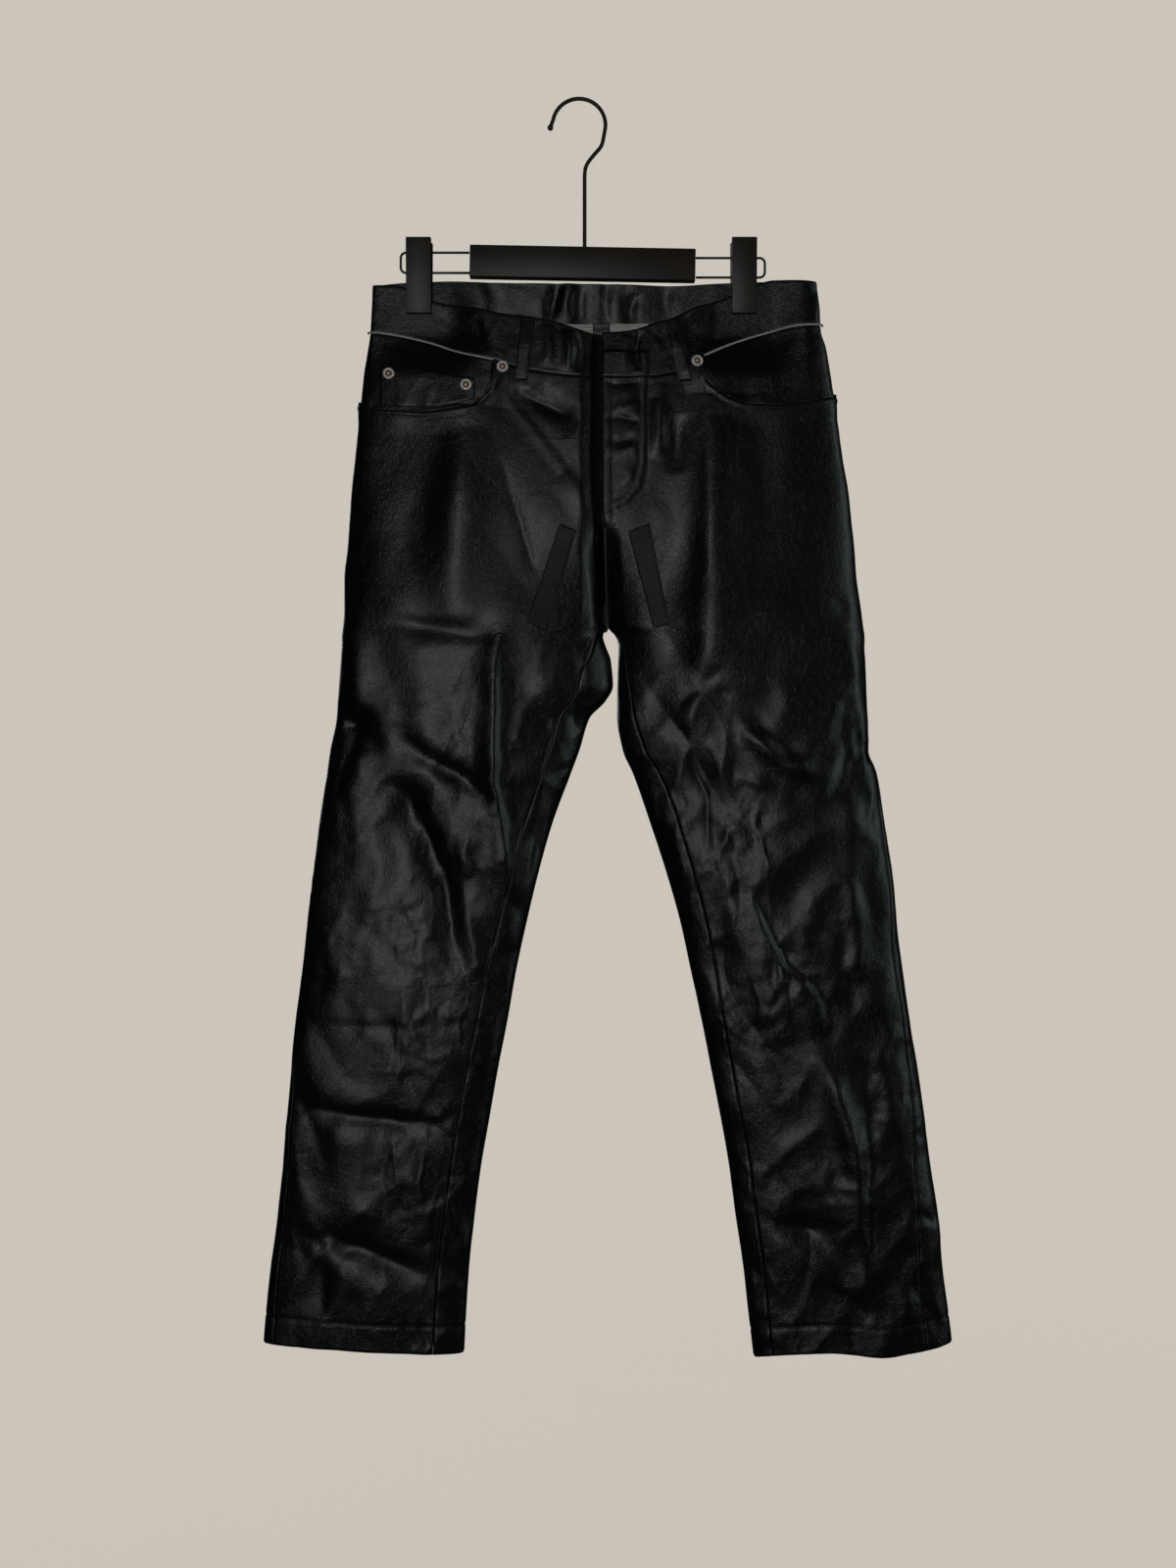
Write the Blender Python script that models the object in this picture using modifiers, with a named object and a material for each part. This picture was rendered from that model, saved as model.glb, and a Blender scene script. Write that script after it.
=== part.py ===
"""Waxed jeans clipped to a trouser hanger, front towards -Y. The origin is the inner top of the hook."""

import math
from collections import namedtuple

import bmesh
import bpy
import numpy as np
from mathutils import Matrix, Vector
from mathutils.bvhtree import BVHTree

MM = 0.001

# Walls and gaps, mm
CLOTH = 1.5
HEM_WALL = 3.0
BAND = 2.4
FACING = 1.2
SEAM_GAP = 0.3
REST_GAP = 0.4

# Heights down the garment, mm below the hook
TORSO_END = -385.0
CROTCH = -494.0
HEM = -1172.0
HEM_DEPTH = 26.0
HEM_TOP = -1060.0
FLY_END = -410.0
FLY_CLOSED = -432.0
FLY_FLAT = -462.0

# The right front laps over the left at the fly
LAP = 14.0
LAP_RECESS = 3.4
LAP_SLOPE = 24.0

# Front and back are pinched together in the clips
CLIP_X = {"left": -151.0, "right": 153.5}
PINCH = 3.1
PINCH_FLAT = 24.0
PINCH_END = 64.0
PINCH_LOW = -266.0
PINCH_FULL = -218.0

# The front's pocket mouth stands proud of the facing behind it
MOUTH_LIFT = 2.2
MOUTH_EDGE = 2.0
MOUTH_FADE = 26.0
FACING_TUCK = 14.0
FACING_GAP = 0.5

# Folds die out towards the seams at the sides, and beside the fly down to the crotch
CALM_RISE = (0.15, 0.7)
CALM_FLY = (14.0, 34.0)
CALM_END = (-554.0, -584.0)
FOLD_ENDS = 0.35

Outline = namedtuple("Outline", "z out inner")
Depth = namedtuple("Depth", "z front mid back power")
Seam = namedtuple("Seam", "z outseam inseam")
Fold = namedtuple("Fold", "side face height width path")

# Silhouette of each leg: outer edge, and centre line or inner edge
OUTLINES = {
    "left": (
        Outline(-170, -195, 20), Outline(-200, -196, 20), Outline(-220, -197, 20),
        Outline(-256, -203, 21), Outline(-283, -206, 21), Outline(-311, -209, 21),
        Outline(-339, -212, 21), Outline(-366, -215, 21), Outline(-394, -217, 22),
        Outline(-421, -219, 23), Outline(-449, -222, 24), Outline(-477, -222, 25),
        Outline(-494, -223, 25.5), Outline(-503, -224, 21.5), Outline(-512, -224, 24),
        Outline(-526, -225, 29), Outline(-550, -227, 31), Outline(-564, -228, 24),
        Outline(-580, -229, 9), Outline(-610, -235, -0.5), Outline(-633, -238, -9),
        Outline(-679, -245, -26), Outline(-725, -250, -39), Outline(-771, -256, -50),
        Outline(-817, -261, -60), Outline(-863, -267, -68), Outline(-909, -271, -77),
        Outline(-955, -275, -85), Outline(-1001, -279, -93), Outline(-1047, -284, -99),
        Outline(-1093, -290, -104), Outline(-1139, -295, -107), Outline(-1180, -298, -109),
    ),
    "right": (
        Outline(-170, 222, 20), Outline(-200, 225, 20), Outline(-218, 226, 20),
        Outline(-234, 231, 21), Outline(-256, 235, 21), Outline(-283, 239, 21),
        Outline(-311, 243, 21), Outline(-339, 247, 21), Outline(-366, 252, 21),
        Outline(-394, 255, 22), Outline(-421, 258, 23), Outline(-449, 260, 24),
        Outline(-477, 264, 25), Outline(-494, 266, 26), Outline(-503, 267, 33.5),
        Outline(-512, 267, 36), Outline(-526, 268, 35.5), Outline(-550, 269, 35),
        Outline(-576, 270, 34.5), Outline(-610, 271, 40), Outline(-633, 279, 50),
        Outline(-679, 286, 66), Outline(-725, 293, 81), Outline(-771, 297, 94),
        Outline(-817, 303, 104), Outline(-863, 309, 114), Outline(-909, 317, 123),
        Outline(-955, 323, 132), Outline(-1001, 329, 140), Outline(-1047, 336, 146),
        Outline(-1093, 340, 153), Outline(-1139, 346, 158), Outline(-1180, 351, 163),
    ),
}

# How far the front and back stand from the side seam's plane
DEPTHS = (
    Depth(-170, -11, 0, 9, 0.5), Depth(-216, -15, 1, 13, 0.5), Depth(-275, -20, 2, 22, 0.6),
    Depth(-366, -25, 3, 33, 0.7), Depth(-450, -28, 4, 36, 0.75), Depth(-494, -29, 4, 36, 0.8),
    Depth(-560, -29, 3, 34, 0.8), Depth(-650, -27, 2, 29, 0.8), Depth(-770, -25, 1, 26, 0.8),
    Depth(-863, -24, 0, 24, 0.8), Depth(-1000, -22, 0, 22, 0.8), Depth(-1180, -19, 0, 20, 0.8),
)

# Where the seams run round each leg: 0 at the outer edge, 1 at the inner edge, on the front
SEAMS = {
    "left": (
        Seam(-160, 0, 1), Seam(-494, 0, 1), Seam(-504, 0, 0.9), Seam(-550, 0, 0.77),
        Seam(-605, 0, 0.777), Seam(-734, 0, 0.776), Seam(-800, 0, 0.765), Seam(-881, 0.05, 0.752),
        Seam(-946, 0.11, 0.748), Seam(-1180, 0.16, 0.746),
    ),
    "right": (
        Seam(-160, 0, 1), Seam(-494, 0, 1), Seam(-504, 0, 0.93), Seam(-550, 0, 0.86),
        Seam(-591, 0, 0.819), Seam(-679, 0.09, 0.775), Seam(-789, 0.12, 0.777),
        Seam(-902, 0.14, 0.795), Seam(-960, 0.17, 0.795), Seam(-1047, 0.22, 0.795),
        Seam(-1180, 0.25, 0.803),
    ),
}

# Edges drawn on the front: (x, z) from the side seam to the centre
WAIST_SEAM = {
    "left": ((-198, -219), (-179, -221), (-143.5, -229), (-109, -241), (-76, -249),
             (-48, -257), (-11, -262), (18, -263.5), (36, -263.5)),
    "right": ((19, -263.5), (53, -264), (90, -259.5), (108.5, -247), (139, -232),
              (174, -220), (201, -214), (228, -212)),
}
BAND_TOP = {
    "left": ((-197, -174), (-177, -174), (-164, -176), (-149, -182), (-137, -189), (-99, -197),
             (-73, -203), (-48, -206), (-23, -211), (13, -221.5), (36, -223)),
    "right": ((18, -221.5), (44, -220), (70, -212.5), (85, -208), (99, -201), (110, -195),
              (128, -189), (138, -185), (153.5, -179), (166, -173), (182, -169.5), (224, -171)),
}
POCKET_MOUTH = {
    "left": ((-212, -282), (-188, -290), (-143.5, -293.5), (-118, -291), (-100, -287),
             (-87, -275), (-80.5, -262), (-78.5, -250)),
    "right": ((113.5, -246), (114.5, -256), (122, -268.5), (139, -280.5), (156, -286.5),
              (182, -287), (209, -283.5), (243, -276)),
}
POCKET_CORNER = {"left": -78.0, "right": 113.0}
HEM_EDGE = {
    "left": ((-300, -1164.5), (-200, -1170), (-106, -1175)),
    "right": ((162, -1179), (182, -1175), (234, -1171), (282, -1175), (352, -1164.5)),
}
BACK_BAND_TOP = ((-197, -174), (-165, -171), (-100, -169), (20, -170), (108, -172), (182, -170),
                 (224, -171))
BACK_BAND_LOW = ((-198, -219), (-120, -214), (20, -211), (140, -210), (228, -212))
YOKE_SEAM = ((-210, -256), (-90, -270), (20, -286), (130, -270), (240, -252))

# The largest folds, as ridges (+) and troughs (-) along a path of (x, z)
FOLDS = (
    Fold("left", "front", 5, 26, ((-107, -310), (-112, -403), (-116, -486))),
    Fold("left", "front", -3, 14, ((-66, -290), (-33, -327), (0, -370), (14, -393))),
    Fold("left", "front", 4, 12, ((-73, -500), (-80, -557), (-80, -642), (-73, -672), (-67, -735))),
    Fold("left", "front", -3, 12, ((-185, -490), (-131, -500), (-82, -500))),
    Fold("left", "front", -5, 16, ((-226, -580), (-205, -592), (-188, -615))),
    Fold("left", "front", -3, 11, ((-170, -595), (-146, -615), (-110, -635), (-80, -660))),
    Fold("left", "front", -5, 16, ((-185, -639), (-161, -654), (-141, -691), (-124, -735), (-117, -801))),
    Fold("left", "front", -3, 11, ((-256, -940), (-220, -948), (-175, -954), (-139, -957))),
    Fold("left", "front", -4.5, 15, ((-242, -1059), (-207, -1073), (-142, -1099))),
    Fold("right", "front", 5, 22, ((120, -300), (125, -400), (118, -548), (105, -595))),
    Fold("right", "front", 3.5, 11, ((152, -579), (157, -595), (174, -610), (191, -623), (216, -632))),
    Fold("right", "front", -5, 14, ((250, -565), (254, -617), (238, -661))),
    Fold("right", "front", -4, 13, ((157, -748), (187, -809), (217, -835), (231, -870))),
    Fold("right", "front", 4, 12, ((223, -891), (239, -930), (255, -983), (266, -1124))),
    Fold("right", "front", -4, 13, ((177, -1049), (223, -1059), (258, -1120))),
    Fold("left", "back", -5, 18, ((-190, -470), (-110, -500), (-20, -492))),
    Fold("left", "back", -5, 18, ((-232, -640), (-160, -668), (-80, -655))),
    Fold("left", "back", 4, 14, ((-130, -690), (-140, -800), (-160, -900))),
    Fold("left", "back", -4, 16, ((-262, -960), (-200, -985), (-130, -972))),
    Fold("right", "back", -5, 18, ((230, -462), (150, -494), (68, -486))),
    Fold("right", "back", -5, 18, ((270, -612), (190, -650), (90, -640))),
    Fold("right", "back", 4, 14, ((175, -680), (190, -790), (214, -905))),
    Fold("right", "back", -4, 16, ((318, -1010), (250, -1032), (170, -1018))),
)

# Rows of the panels below the pockets, mm, with two more above them up to the panel's own top edge
UPPER_ROWS = (-250, -280)
ROWS = (-310, -345, -385, -412, -438, -466, CROTCH, -506, -526, -552, -580, -610, -640, -672, -706,
        -742, -780, -820, -862, -904, -946, -988, -1030, -1072, -1110, -1142.5, -1146, HEM)
BACK_COLUMNS = 14

# Columns of the front, as shares of its width: close together at the pocket's corner
CORNER_HEIGHT = -262.0
CORNER_STEPS = (0.05, 0.018)
FACING_STEPS = (0.03, 0.006)
PIPING_ENDS = (0.004, 0.012)

# Pieces laid on the front, by four (x, z) corners: top outer, top inner, bottom inner, bottom outer
COIN_CLEAR = 2.2
COIN_POCKET = ((-187, -248.5), (-97.5, -265), (-97.5, -285.5), (-187, -288.5))
THIGH_TABS = {
    "left": ((-18.5, -401), (-3.5, -407.5), (-31.5, -500.5), (-49.5, -492.5)),
    "right": ((64.5, -401), (44.5, -408), (68, -498.5), (83, -494)),
}
TAB_WALL = 1.3
LOOPS = {
    "belt_loop_front_left": ("front", BAND_TOP["left"], -48.0, (-55.0, -267.5)),
    "belt_loop_front_right": ("front", BAND_TOP["right"], 85.5, (97.5, -268.0)),
    "belt_loop_side_left": ("back", BACK_BAND_TOP, -120.0, (-122.0, -230.0)),
    "belt_loop_side_right": ("back", BACK_BAND_TOP, 119.0, (121.0, -230.0)),
    "belt_loop_centre_back": ("back", BACK_BAND_TOP, 20.0, (20.0, -230.0)),
}
LOOP_DROP = 1.2
LOOP_WIDTH = 12.5
LOOP_WALL = 1.6
LOOP_BOW = 2.0
LOOP_SIZE = (9, 4)

# Back pockets: centre and top of each, degrees that it leans, and the shape of both
BACK_POCKETS = {"left": (-96.0, -304.0, 4.0), "right": (138.0, -304.0, -4.0)}
POCKET_TOP_HALF = 72.0
POCKET_LOW_HALF = 68.0
POCKET_CORNER_DROP = -122.0
POCKET_POINT_DROP = -148.0
LAID_GAP = 0.6

# Tape over the centre-back seam, inside
TAPE_X = 20.0
TAPE_TOP = -213.0
TAPE_LENGTH = 95.0
TAPE_HALF = 8.0
TAPE_WALL = 0.9

PIPING_RADIUS = 1.0
RIVETS = {
    "rivet_pocket_left": (-72.0, -255.0),
    "rivet_pocket_right": (108.5, -249.5),
    "rivet_coin_outer": (-178.5, -259.5),
    "rivet_coin_inner": (-106.0, -271.5),
}
RIVET_RADIUS = 5.5
RIVET_PROFILE = ((0, 1.7), (1.5, 1.7), (2.2, 1.1), (2.9, 1.1), (3.6, 1.6), (4.8, 1.5),
                 (RIVET_RADIUS, 0.6), (RIVET_RADIUS, 0), (0, 0))

# Hanger
HOOK_WIRE = 3.7
HOOK_ARC = (-1.0, -23.0, 24.8)
HOOK_ARC_FROM = 168.0
HOOK_ARC_TO = -14.0
HOOK_TIP = ((-28.0, -25.5), (-26.6, -21.5))
HOOK_TAIL = ((20.4, -41.4), (12.6, -51.5), (7.2, -58.6), (4.7, -65.0), (4.2, -73.0), (4.2, -100.0))
HOOK_BALL = 2.8
BAR_SIZE = (211.5, 11.0, 30.0)
BAR_CENTRE = (2.3, -1.5, -154.0)
BAR_TILT = 1.05
BAR_EDGE = 0.8
RAIL_WIRE = 2.3
RAILS = {"left": (-142.9, -161.9, -168.5), "right": (-147.9, -166.2, 173.5)}
RAIL_BEND = 5.0
RAIL_GAP = 0.6
CLIP_WIDTH = 23.5
CLIP_TOP = -131.5
CLIP_LOW = -201.5
JAW_HEAD = 5.8
JAW_BACK_TOP = 12.0
JAW_BACK_LOW = 8.0
JAW_STEP = (-168.6, -172.5)
CORE_WIDTH = 17.0
CORE_TOP = -134.0
CORE_LOW = {"left": -167.0, "right": -168.8}

SIDES = ("left", "right")
TURN = {"left": 1.0, "right": -1.0}


def smooth(value, table):
    """Reads a table of (key, value) rows as a smooth curve that never overshoots a row."""
    keys, values = np.array(sorted((row[0], row[1]) for row in table), float).T
    rates = np.diff(values) / np.diff(keys)
    before, after = rates[:-1], rates[1:]
    level = before * after <= 0
    inside = np.where(level, 0, 2 * before * after / np.where(level, 1, before + after))
    slopes = np.concatenate([rates[:1], inside, rates[-1:]])
    value = np.clip(value, keys[0], keys[-1])
    at = np.clip(np.searchsorted(keys, value) - 1, 0, len(keys) - 2)
    step = keys[at + 1] - keys[at]
    t = (value - keys[at]) / step
    start = (1 + 2 * t) * (1 - t) ** 2 * values[at] + t * (1 - t) ** 2 * step * slopes[at]
    end = t * t * (3 - 2 * t) * values[at + 1] + t * t * (t - 1) * step * slopes[at + 1]
    return start + end


def column(rows, name):
    return [(row.z, getattr(row, name)) for row in rows]


def ramp(value, low, high):
    """0 at low, 1 at high, eased at both ends."""
    t = np.clip((value - low) / (high - low), 0.0, 1.0)
    return t * t * (3 - 2 * t)


def path_distance(x, z, path):
    """Distance from each (x, z) to a path, and how far along the path its nearest point lies."""
    best = np.full(np.shape(x), np.inf)
    along = np.zeros(np.shape(x))
    pieces = len(path) - 1
    for i in range(pieces):
        (ax, az), (bx, bz) = path[i], path[i + 1]
        dx, dz = bx - ax, bz - az
        t = np.clip(((x - ax) * dx + (z - az) * dz) / (dx * dx + dz * dz), 0, 1)
        distance = np.hypot(x - ax - t * dx, z - az - t * dz)
        nearer = distance < best
        best = np.where(nearer, distance, best)
        along = np.where(nearer, (i + t) / pieces, along)
    return best, along


def fold_height(side, face, x, z):
    """Height of the folds of one leg's front or back at (x, z)."""
    total = np.zeros(np.shape(x))
    for fold in FOLDS:
        if (fold.side, fold.face) != (side, face):
            continue
        distance, along = path_distance(x, z, fold.path)
        taper = FOLD_ENDS + (1 - FOLD_ENDS) * np.sin(math.pi * along)
        total += fold.height * taper * np.exp(-((distance / fold.width) ** 2))
    return total


def base(side, q, z, face):
    """The garment without its folds.

    q runs round one leg: 0 at the outer edge, 1 at the inner edge or centre, 2 at the outer edge again.
    """
    q, z = np.broadcast_arrays(np.asarray(q, float), np.asarray(z, float))
    leg = ramp(-z, -TORSO_END, -CROTCH)
    if face == "front":
        q = np.where(leg < 1, np.minimum(q, 1.0), q)
        on_front = (q % 2) <= 1
    else:
        q = np.where(leg < 1, np.maximum(q, 1.0), q)
        on_front = (q % 2) < 1
    u = 1 - np.abs(1 - q % 2)
    rows = OUTLINES[side]
    out = smooth(z, column(rows, "out"))
    inner = smooth(z, column(rows, "inner"))
    if side == "left":
        inner = inner + np.where(on_front, LAP * ramp(z, FLY_CLOSED, FLY_END), 0)
    front, mid, back, power = (smooth(z, column(DEPTHS, name)) for name in Depth._fields[1:])
    open_x = inner + (out - inner) * np.cos(math.pi * u / 2)
    closed_x = (out + inner) / 2 + (out - inner) / 2 * np.cos(math.pi * u)
    x = (1 - leg) * open_x + leg * closed_x
    open_rise = np.sin(math.pi * u / 2) ** power
    closed_rise = np.clip(np.sin(math.pi * u), 0, 1) ** power
    rise = (1 - leg) * open_rise + leg * closed_rise
    y = np.where(on_front, mid - (mid - front) * rise, mid + (back - mid) * rise)
    pinch = 1 - ramp(np.abs(x - CLIP_X[side]), PINCH_FLAT, PINCH_END)
    pinch = pinch * ramp(z, PINCH_LOW, PINCH_FULL)
    gripped = np.where(on_front, -PINCH, PINCH) * ramp(rise, 0.0, 0.6)
    y = y + (gripped - y) * pinch
    if side == "left":
        edge = smooth(z, column(rows, "inner"))
        lap = ramp(x, edge - LAP_SLOPE, edge - 2) * ramp(z, FLY_FLAT, FLY_CLOSED)
        y = y + np.where(on_front, LAP_RECESS * lap, 0)
    return np.stack([x, y, z], -1), on_front, rise


def form(side, q, z, face, lift=0.0):
    """Points of the garment's outer surface, and the way each one faces."""
    points, on_front, rise = base(side, q, z, face)
    step_q, step_z = 0.004, 1.0
    round_way = base(side, q + step_q, z, face)[0] - base(side, q - step_q, z, face)[0]
    up_way = base(side, q, z + step_z, face)[0] - base(side, q, z - step_z, face)[0]
    normal = np.cross(round_way, up_way) * TURN[side]
    normal /= np.linalg.norm(normal, axis=-1, keepdims=True)
    x, z = points[..., 0], points[..., 2]
    height = np.where(on_front, fold_height(side, "front", x, z), fold_height(side, "back", x, z))
    centre = smooth(z, column(OUTLINES[side], "inner"))
    beside_fly = np.maximum(ramp(np.abs(x - centre), *CALM_FLY), 1 - ramp(z, *CALM_END[::-1]))
    calm = ramp(rise, *CALM_RISE) * beside_fly
    return points + normal * (height * calm + lift)[..., None], normal


def place_of(side, x, z, face="front"):
    """The q whose point lies at x, at each height z."""
    table = np.linspace(0, 1, 161) if face == "front" else np.linspace(1, 2, 161)
    found = np.empty(np.shape(x))
    for index in np.ndindex(found.shape):
        row = base(side, table, np.full(table.shape, z[index]), face)[0][:, 0]
        order = np.argsort(row)
        found[index] = np.interp(x[index], row[order], table[order])
    return found


def on_edge(side, q, edge, face):
    """Heights where the edge, a table of (x, z), crosses the lines of constant q."""
    z = np.full(np.shape(q), np.mean([point[1] for point in edge]))
    for _ in range(6):
        z = smooth(base(side, q, z, face)[0][..., 0], edge)
    return z


def mouth_lift(side, x, z):
    """How far the front stands out near its pocket mouth."""
    distance, _ = path_distance(x, z, POCKET_MOUTH[side])
    return MOUTH_LIFT * (1 - ramp(distance, MOUTH_EDGE, MOUTH_FADE))


def close_seams(grid):
    """Draws the rim of a grid in, so that two neighbours leave a gap at their seam."""
    half = SEAM_GAP / 2
    for first, second in ((0, 1), (-1, -2)):
        step = grid[second] - grid[first]
        grid[first] += half * step / np.linalg.norm(step, axis=-1, keepdims=True)
        step = grid[:, second] - grid[:, first]
        grid[:, first] += half * step / np.linalg.norm(step, axis=-1, keepdims=True)
    return grid


def material(name, colour, roughness, metallic=0.0):
    made = bpy.data.materials.new(name)
    made.use_nodes = True
    shader = made.node_tree.nodes["Principled BSDF"]
    shader.inputs["Base Color"].default_value = (*colour, 1)
    shader.inputs["Roughness"].default_value = roughness
    shader.inputs["Metallic"].default_value = metallic
    return made


def add_object(name, mesh, finish):
    made = bpy.data.objects.new(name, mesh)
    made.data.materials.append(finish)
    PARTS.objects.link(made)
    return made


def wall(name, outer, inner, finish):
    """A closed sheet between two grids of points, rows by columns."""
    rows, columns = outer.shape[:2]
    lattice = np.arange(rows * columns).reshape(rows, columns)
    a, b = lattice[:-1, :-1].ravel(), lattice[:-1, 1:].ravel()
    c, d = lattice[1:, 1:].ravel(), lattice[1:, :-1].ravel()
    sheet = np.concatenate([np.stack([a, b, c], -1), np.stack([a, c, d], -1)])
    edges = (lattice[0], lattice[:, 0], lattice[-1], lattice[:, -1])
    first = np.concatenate([edge[:-1] for edge in edges])
    second = np.concatenate([edge[1:] for edge in edges])
    below = rows * columns
    skirt = np.concatenate([
        np.stack([first, second, second + below], -1),
        np.stack([first, second + below, first + below], -1),
    ])
    faces = np.concatenate([sheet, sheet[:, ::-1] + below, skirt])
    points = np.concatenate([outer.reshape(-1, 3), inner.reshape(-1, 3)]) * MM
    mesh = bpy.data.meshes.new(name)
    mesh.from_pydata(points.tolist(), [], faces.tolist())
    shape = bmesh.new()
    shape.from_mesh(mesh)
    bmesh.ops.recalc_face_normals(shape, faces=shape.faces)
    shape.to_mesh(mesh)
    shape.free()
    return add_object(name, mesh, finish)


def cloth(name, side, q, z, face, thickness, finish, lift=0.0):
    """A piece of the garment's own surface, over a grid of q and z."""
    outer, normal = form(side, q, z, face, lift)
    inner = outer - normal * np.broadcast_to(thickness, q.shape)[..., None]
    return wall(name, close_seams(outer), close_seams(inner), finish)


def panel_rows(side, q_of, top, face):
    """z for every row and column of a panel that runs from the top edge to the hem."""
    columns = q_of(np.array([ROWS[0]])).shape[1]
    z = np.repeat(np.array(ROWS, float)[:, None], columns, axis=1)
    q = q_of(np.array(ROWS, float))
    x = base(side, q, z, face)[0][..., 0]
    z = z + (smooth(x, HEM_EDGE[side]) - HEM) * ramp(-z, -HEM_TOP, -HEM)
    middle = (top + z[0]) / 2
    return np.vstack([top, middle, z])


def wall_depth(z):
    return np.where(z < HEM + HEM_DEPTH + 1, HEM_WALL, CLOTH)


def corner_share(side):
    """Where the pocket's upper corner lies across the front."""
    return place_of(side, np.array([POCKET_CORNER[side]]), np.array([CORNER_HEIGHT]))[0]


def front_columns(side):
    """Shares of the front's width, from the side seam to the centre."""
    corner = corner_share(side)
    far, near = CORNER_STEPS
    return np.concatenate([np.linspace(0, corner - far, 8), [corner - near, corner],
                           np.linspace(corner, 1, 6)[1:]])


def make_front(side):
    share = front_columns(side)

    def q_of(z):
        start = smooth(z, column(SEAMS[side], "outseam"))[:, None]
        end = smooth(z, column(SEAMS[side], "inseam"))[:, None]
        return start + (end - start) * share

    mouth = on_edge(side, share, POCKET_MOUTH[side], "front")
    seam = on_edge(side, share, WAIST_SEAM[side], "front")
    corner = POCKET_CORNER[side]
    x = base(side, share, seam, "front")[0][..., 0]
    beyond = (x - corner) * TURN[side] < -0.5
    top = np.where(beyond, mouth, seam)
    z = panel_rows(side, q_of, top, "front")
    q = q_of(np.array([*UPPER_ROWS, *ROWS], float))
    flat = base(side, q, z, "front")[0]
    lift = np.where(z > HEM_TOP, mouth_lift(side, flat[..., 0], flat[..., 2]), 0)
    return cloth(f"front_{side}", side, q, z, "front", wall_depth(z), WAXED, lift)


def make_back(side):
    share = np.linspace(0, 1, BACK_COLUMNS)

    def q_of(z):
        start = smooth(z, column(SEAMS[side], "inseam"))[:, None]
        end = 2 + smooth(z, column(SEAMS[side], "outseam"))[:, None]
        return start + (end - start) * share

    top = on_edge(side, 1 + share, YOKE_SEAM, "back")
    z = panel_rows(side, q_of, top, "back")
    q = q_of(np.array([*UPPER_ROWS, *ROWS], float))
    return cloth(f"back_{side}", side, q, z, "back", wall_depth(z), WAXED)


def between(top, low, rows):
    """Heights of a strip's rows from its top edge to its low edge."""
    share = np.linspace(0, 1, rows)[:, None]
    return top + (low - top) * share


def make_yoke(side):
    q = np.linspace(1, 2, BACK_COLUMNS)
    top = on_edge(side, q, BACK_BAND_LOW, "back")
    low = on_edge(side, q, YOKE_SEAM, "back")
    z = between(top, low, 4)
    return cloth(f"yoke_{side}", side, np.broadcast_to(q, z.shape), z, "back", CLOTH, WAXED)


def make_front_band(side):
    q = front_columns(side)
    top = on_edge(side, q, BAND_TOP[side], "front")
    z = between(top, on_edge(side, q, WAIST_SEAM[side], "front"), 4)
    return cloth(f"waistband_front_{side}", side, np.broadcast_to(q, z.shape), z, "front", BAND, WAXED)


def make_back_band():
    """One strip round the back, from the left side seam to the right one."""
    halves = []
    for side in SIDES:
        q = np.linspace(1, 2, 16)
        top = on_edge(side, q, BACK_BAND_TOP, "back")
        z = between(top, on_edge(side, q, BACK_BAND_LOW, "back"), 4)
        outer, normal = form(side, np.broadcast_to(q, z.shape), z, "back")
        halves.append((outer, outer - normal * BAND))
    outer, inner = (np.hstack([left[:, ::-1], right[:, 1:]]) for left, right in zip(*halves))
    return wall("waistband_back", close_seams(outer), close_seams(inner), WAXED)


def make_facing(side):
    """The pocket's facing, seen above the mouth, tucked behind the front below it."""
    share = front_columns(side)
    corner = corner_share(side)
    far, near = FACING_STEPS
    q = np.append(share[share < corner - far], corner - near)
    seam = on_edge(side, q, WAIST_SEAM[side], "front")
    mouth = on_edge(side, q, POCKET_MOUTH[side], "front")
    z = np.vstack([between(seam, mouth, 4), mouth - FACING_TUCK])
    q = np.broadcast_to(q, z.shape)
    flat = base(side, q, z, "front")[0]
    cover = np.where(z < mouth + 1, mouth_lift(side, flat[..., 0], z), MOUTH_LIFT)
    lift = np.minimum(0, cover - CLOTH - FACING_GAP)
    return cloth(f"pocket_facing_{side}", side, q, z, "front", FACING, WAXED, lift)


def names_of(*starts):
    return [made.name for made in PARTS.objects if made.name.startswith(starts)]


def surfaces(names):
    """Search trees of the named solids."""
    trees = []
    for name in names:
        mesh = PARTS.objects[name].data
        points = [vertex.co for vertex in mesh.vertices]
        trees.append(BVHTree.FromPolygons(points, [tuple(face.vertices) for face in mesh.polygons]))
    return trees


def surface_y(trees, x, z, face):
    """y of the outermost surface at (x, z) on that face, or far off where there is none."""
    way = 1.0 if face == "front" else -1.0
    hits = []
    for tree in trees:
        hit = tree.ray_cast(Vector((x * MM, -way, z * MM)), Vector((0, way, 0)))[0]
        if hit is not None:
            hits.append(hit.y / MM)
    return way * min((way * hit for hit in hits), default=math.inf)


def laid(name, x, z, face, carriers, thickness, finish, lift=REST_GAP):
    """A piece laid on others: a grid of (x, z), moved out from their points."""
    trees = surfaces(carriers)
    way = -1.0 if face == "front" else 1.0
    rest = np.array([[surface_y(trees, *place, face) for place in zip(*row)] for row in zip(x, z)])
    rest = rest + way * lift
    inner = np.stack([x, rest, z], -1)
    outer = np.stack([x, rest + way * thickness, z], -1)
    return wall(name, outer, inner, finish)


def four_sided(corners, rows, columns):
    """A grid over four (x, z) corners: top start, top end, bottom end, bottom start."""
    a, b, c, d = (np.array(corner, float) for corner in corners)
    t = np.linspace(0, 1, rows)[:, None, None]
    s = np.linspace(0, 1, columns)[None, :, None]
    grid = (a + (b - a) * s) * (1 - t) + (d + (c - d) * s) * t
    return grid[..., 0], grid[..., 1]


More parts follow.
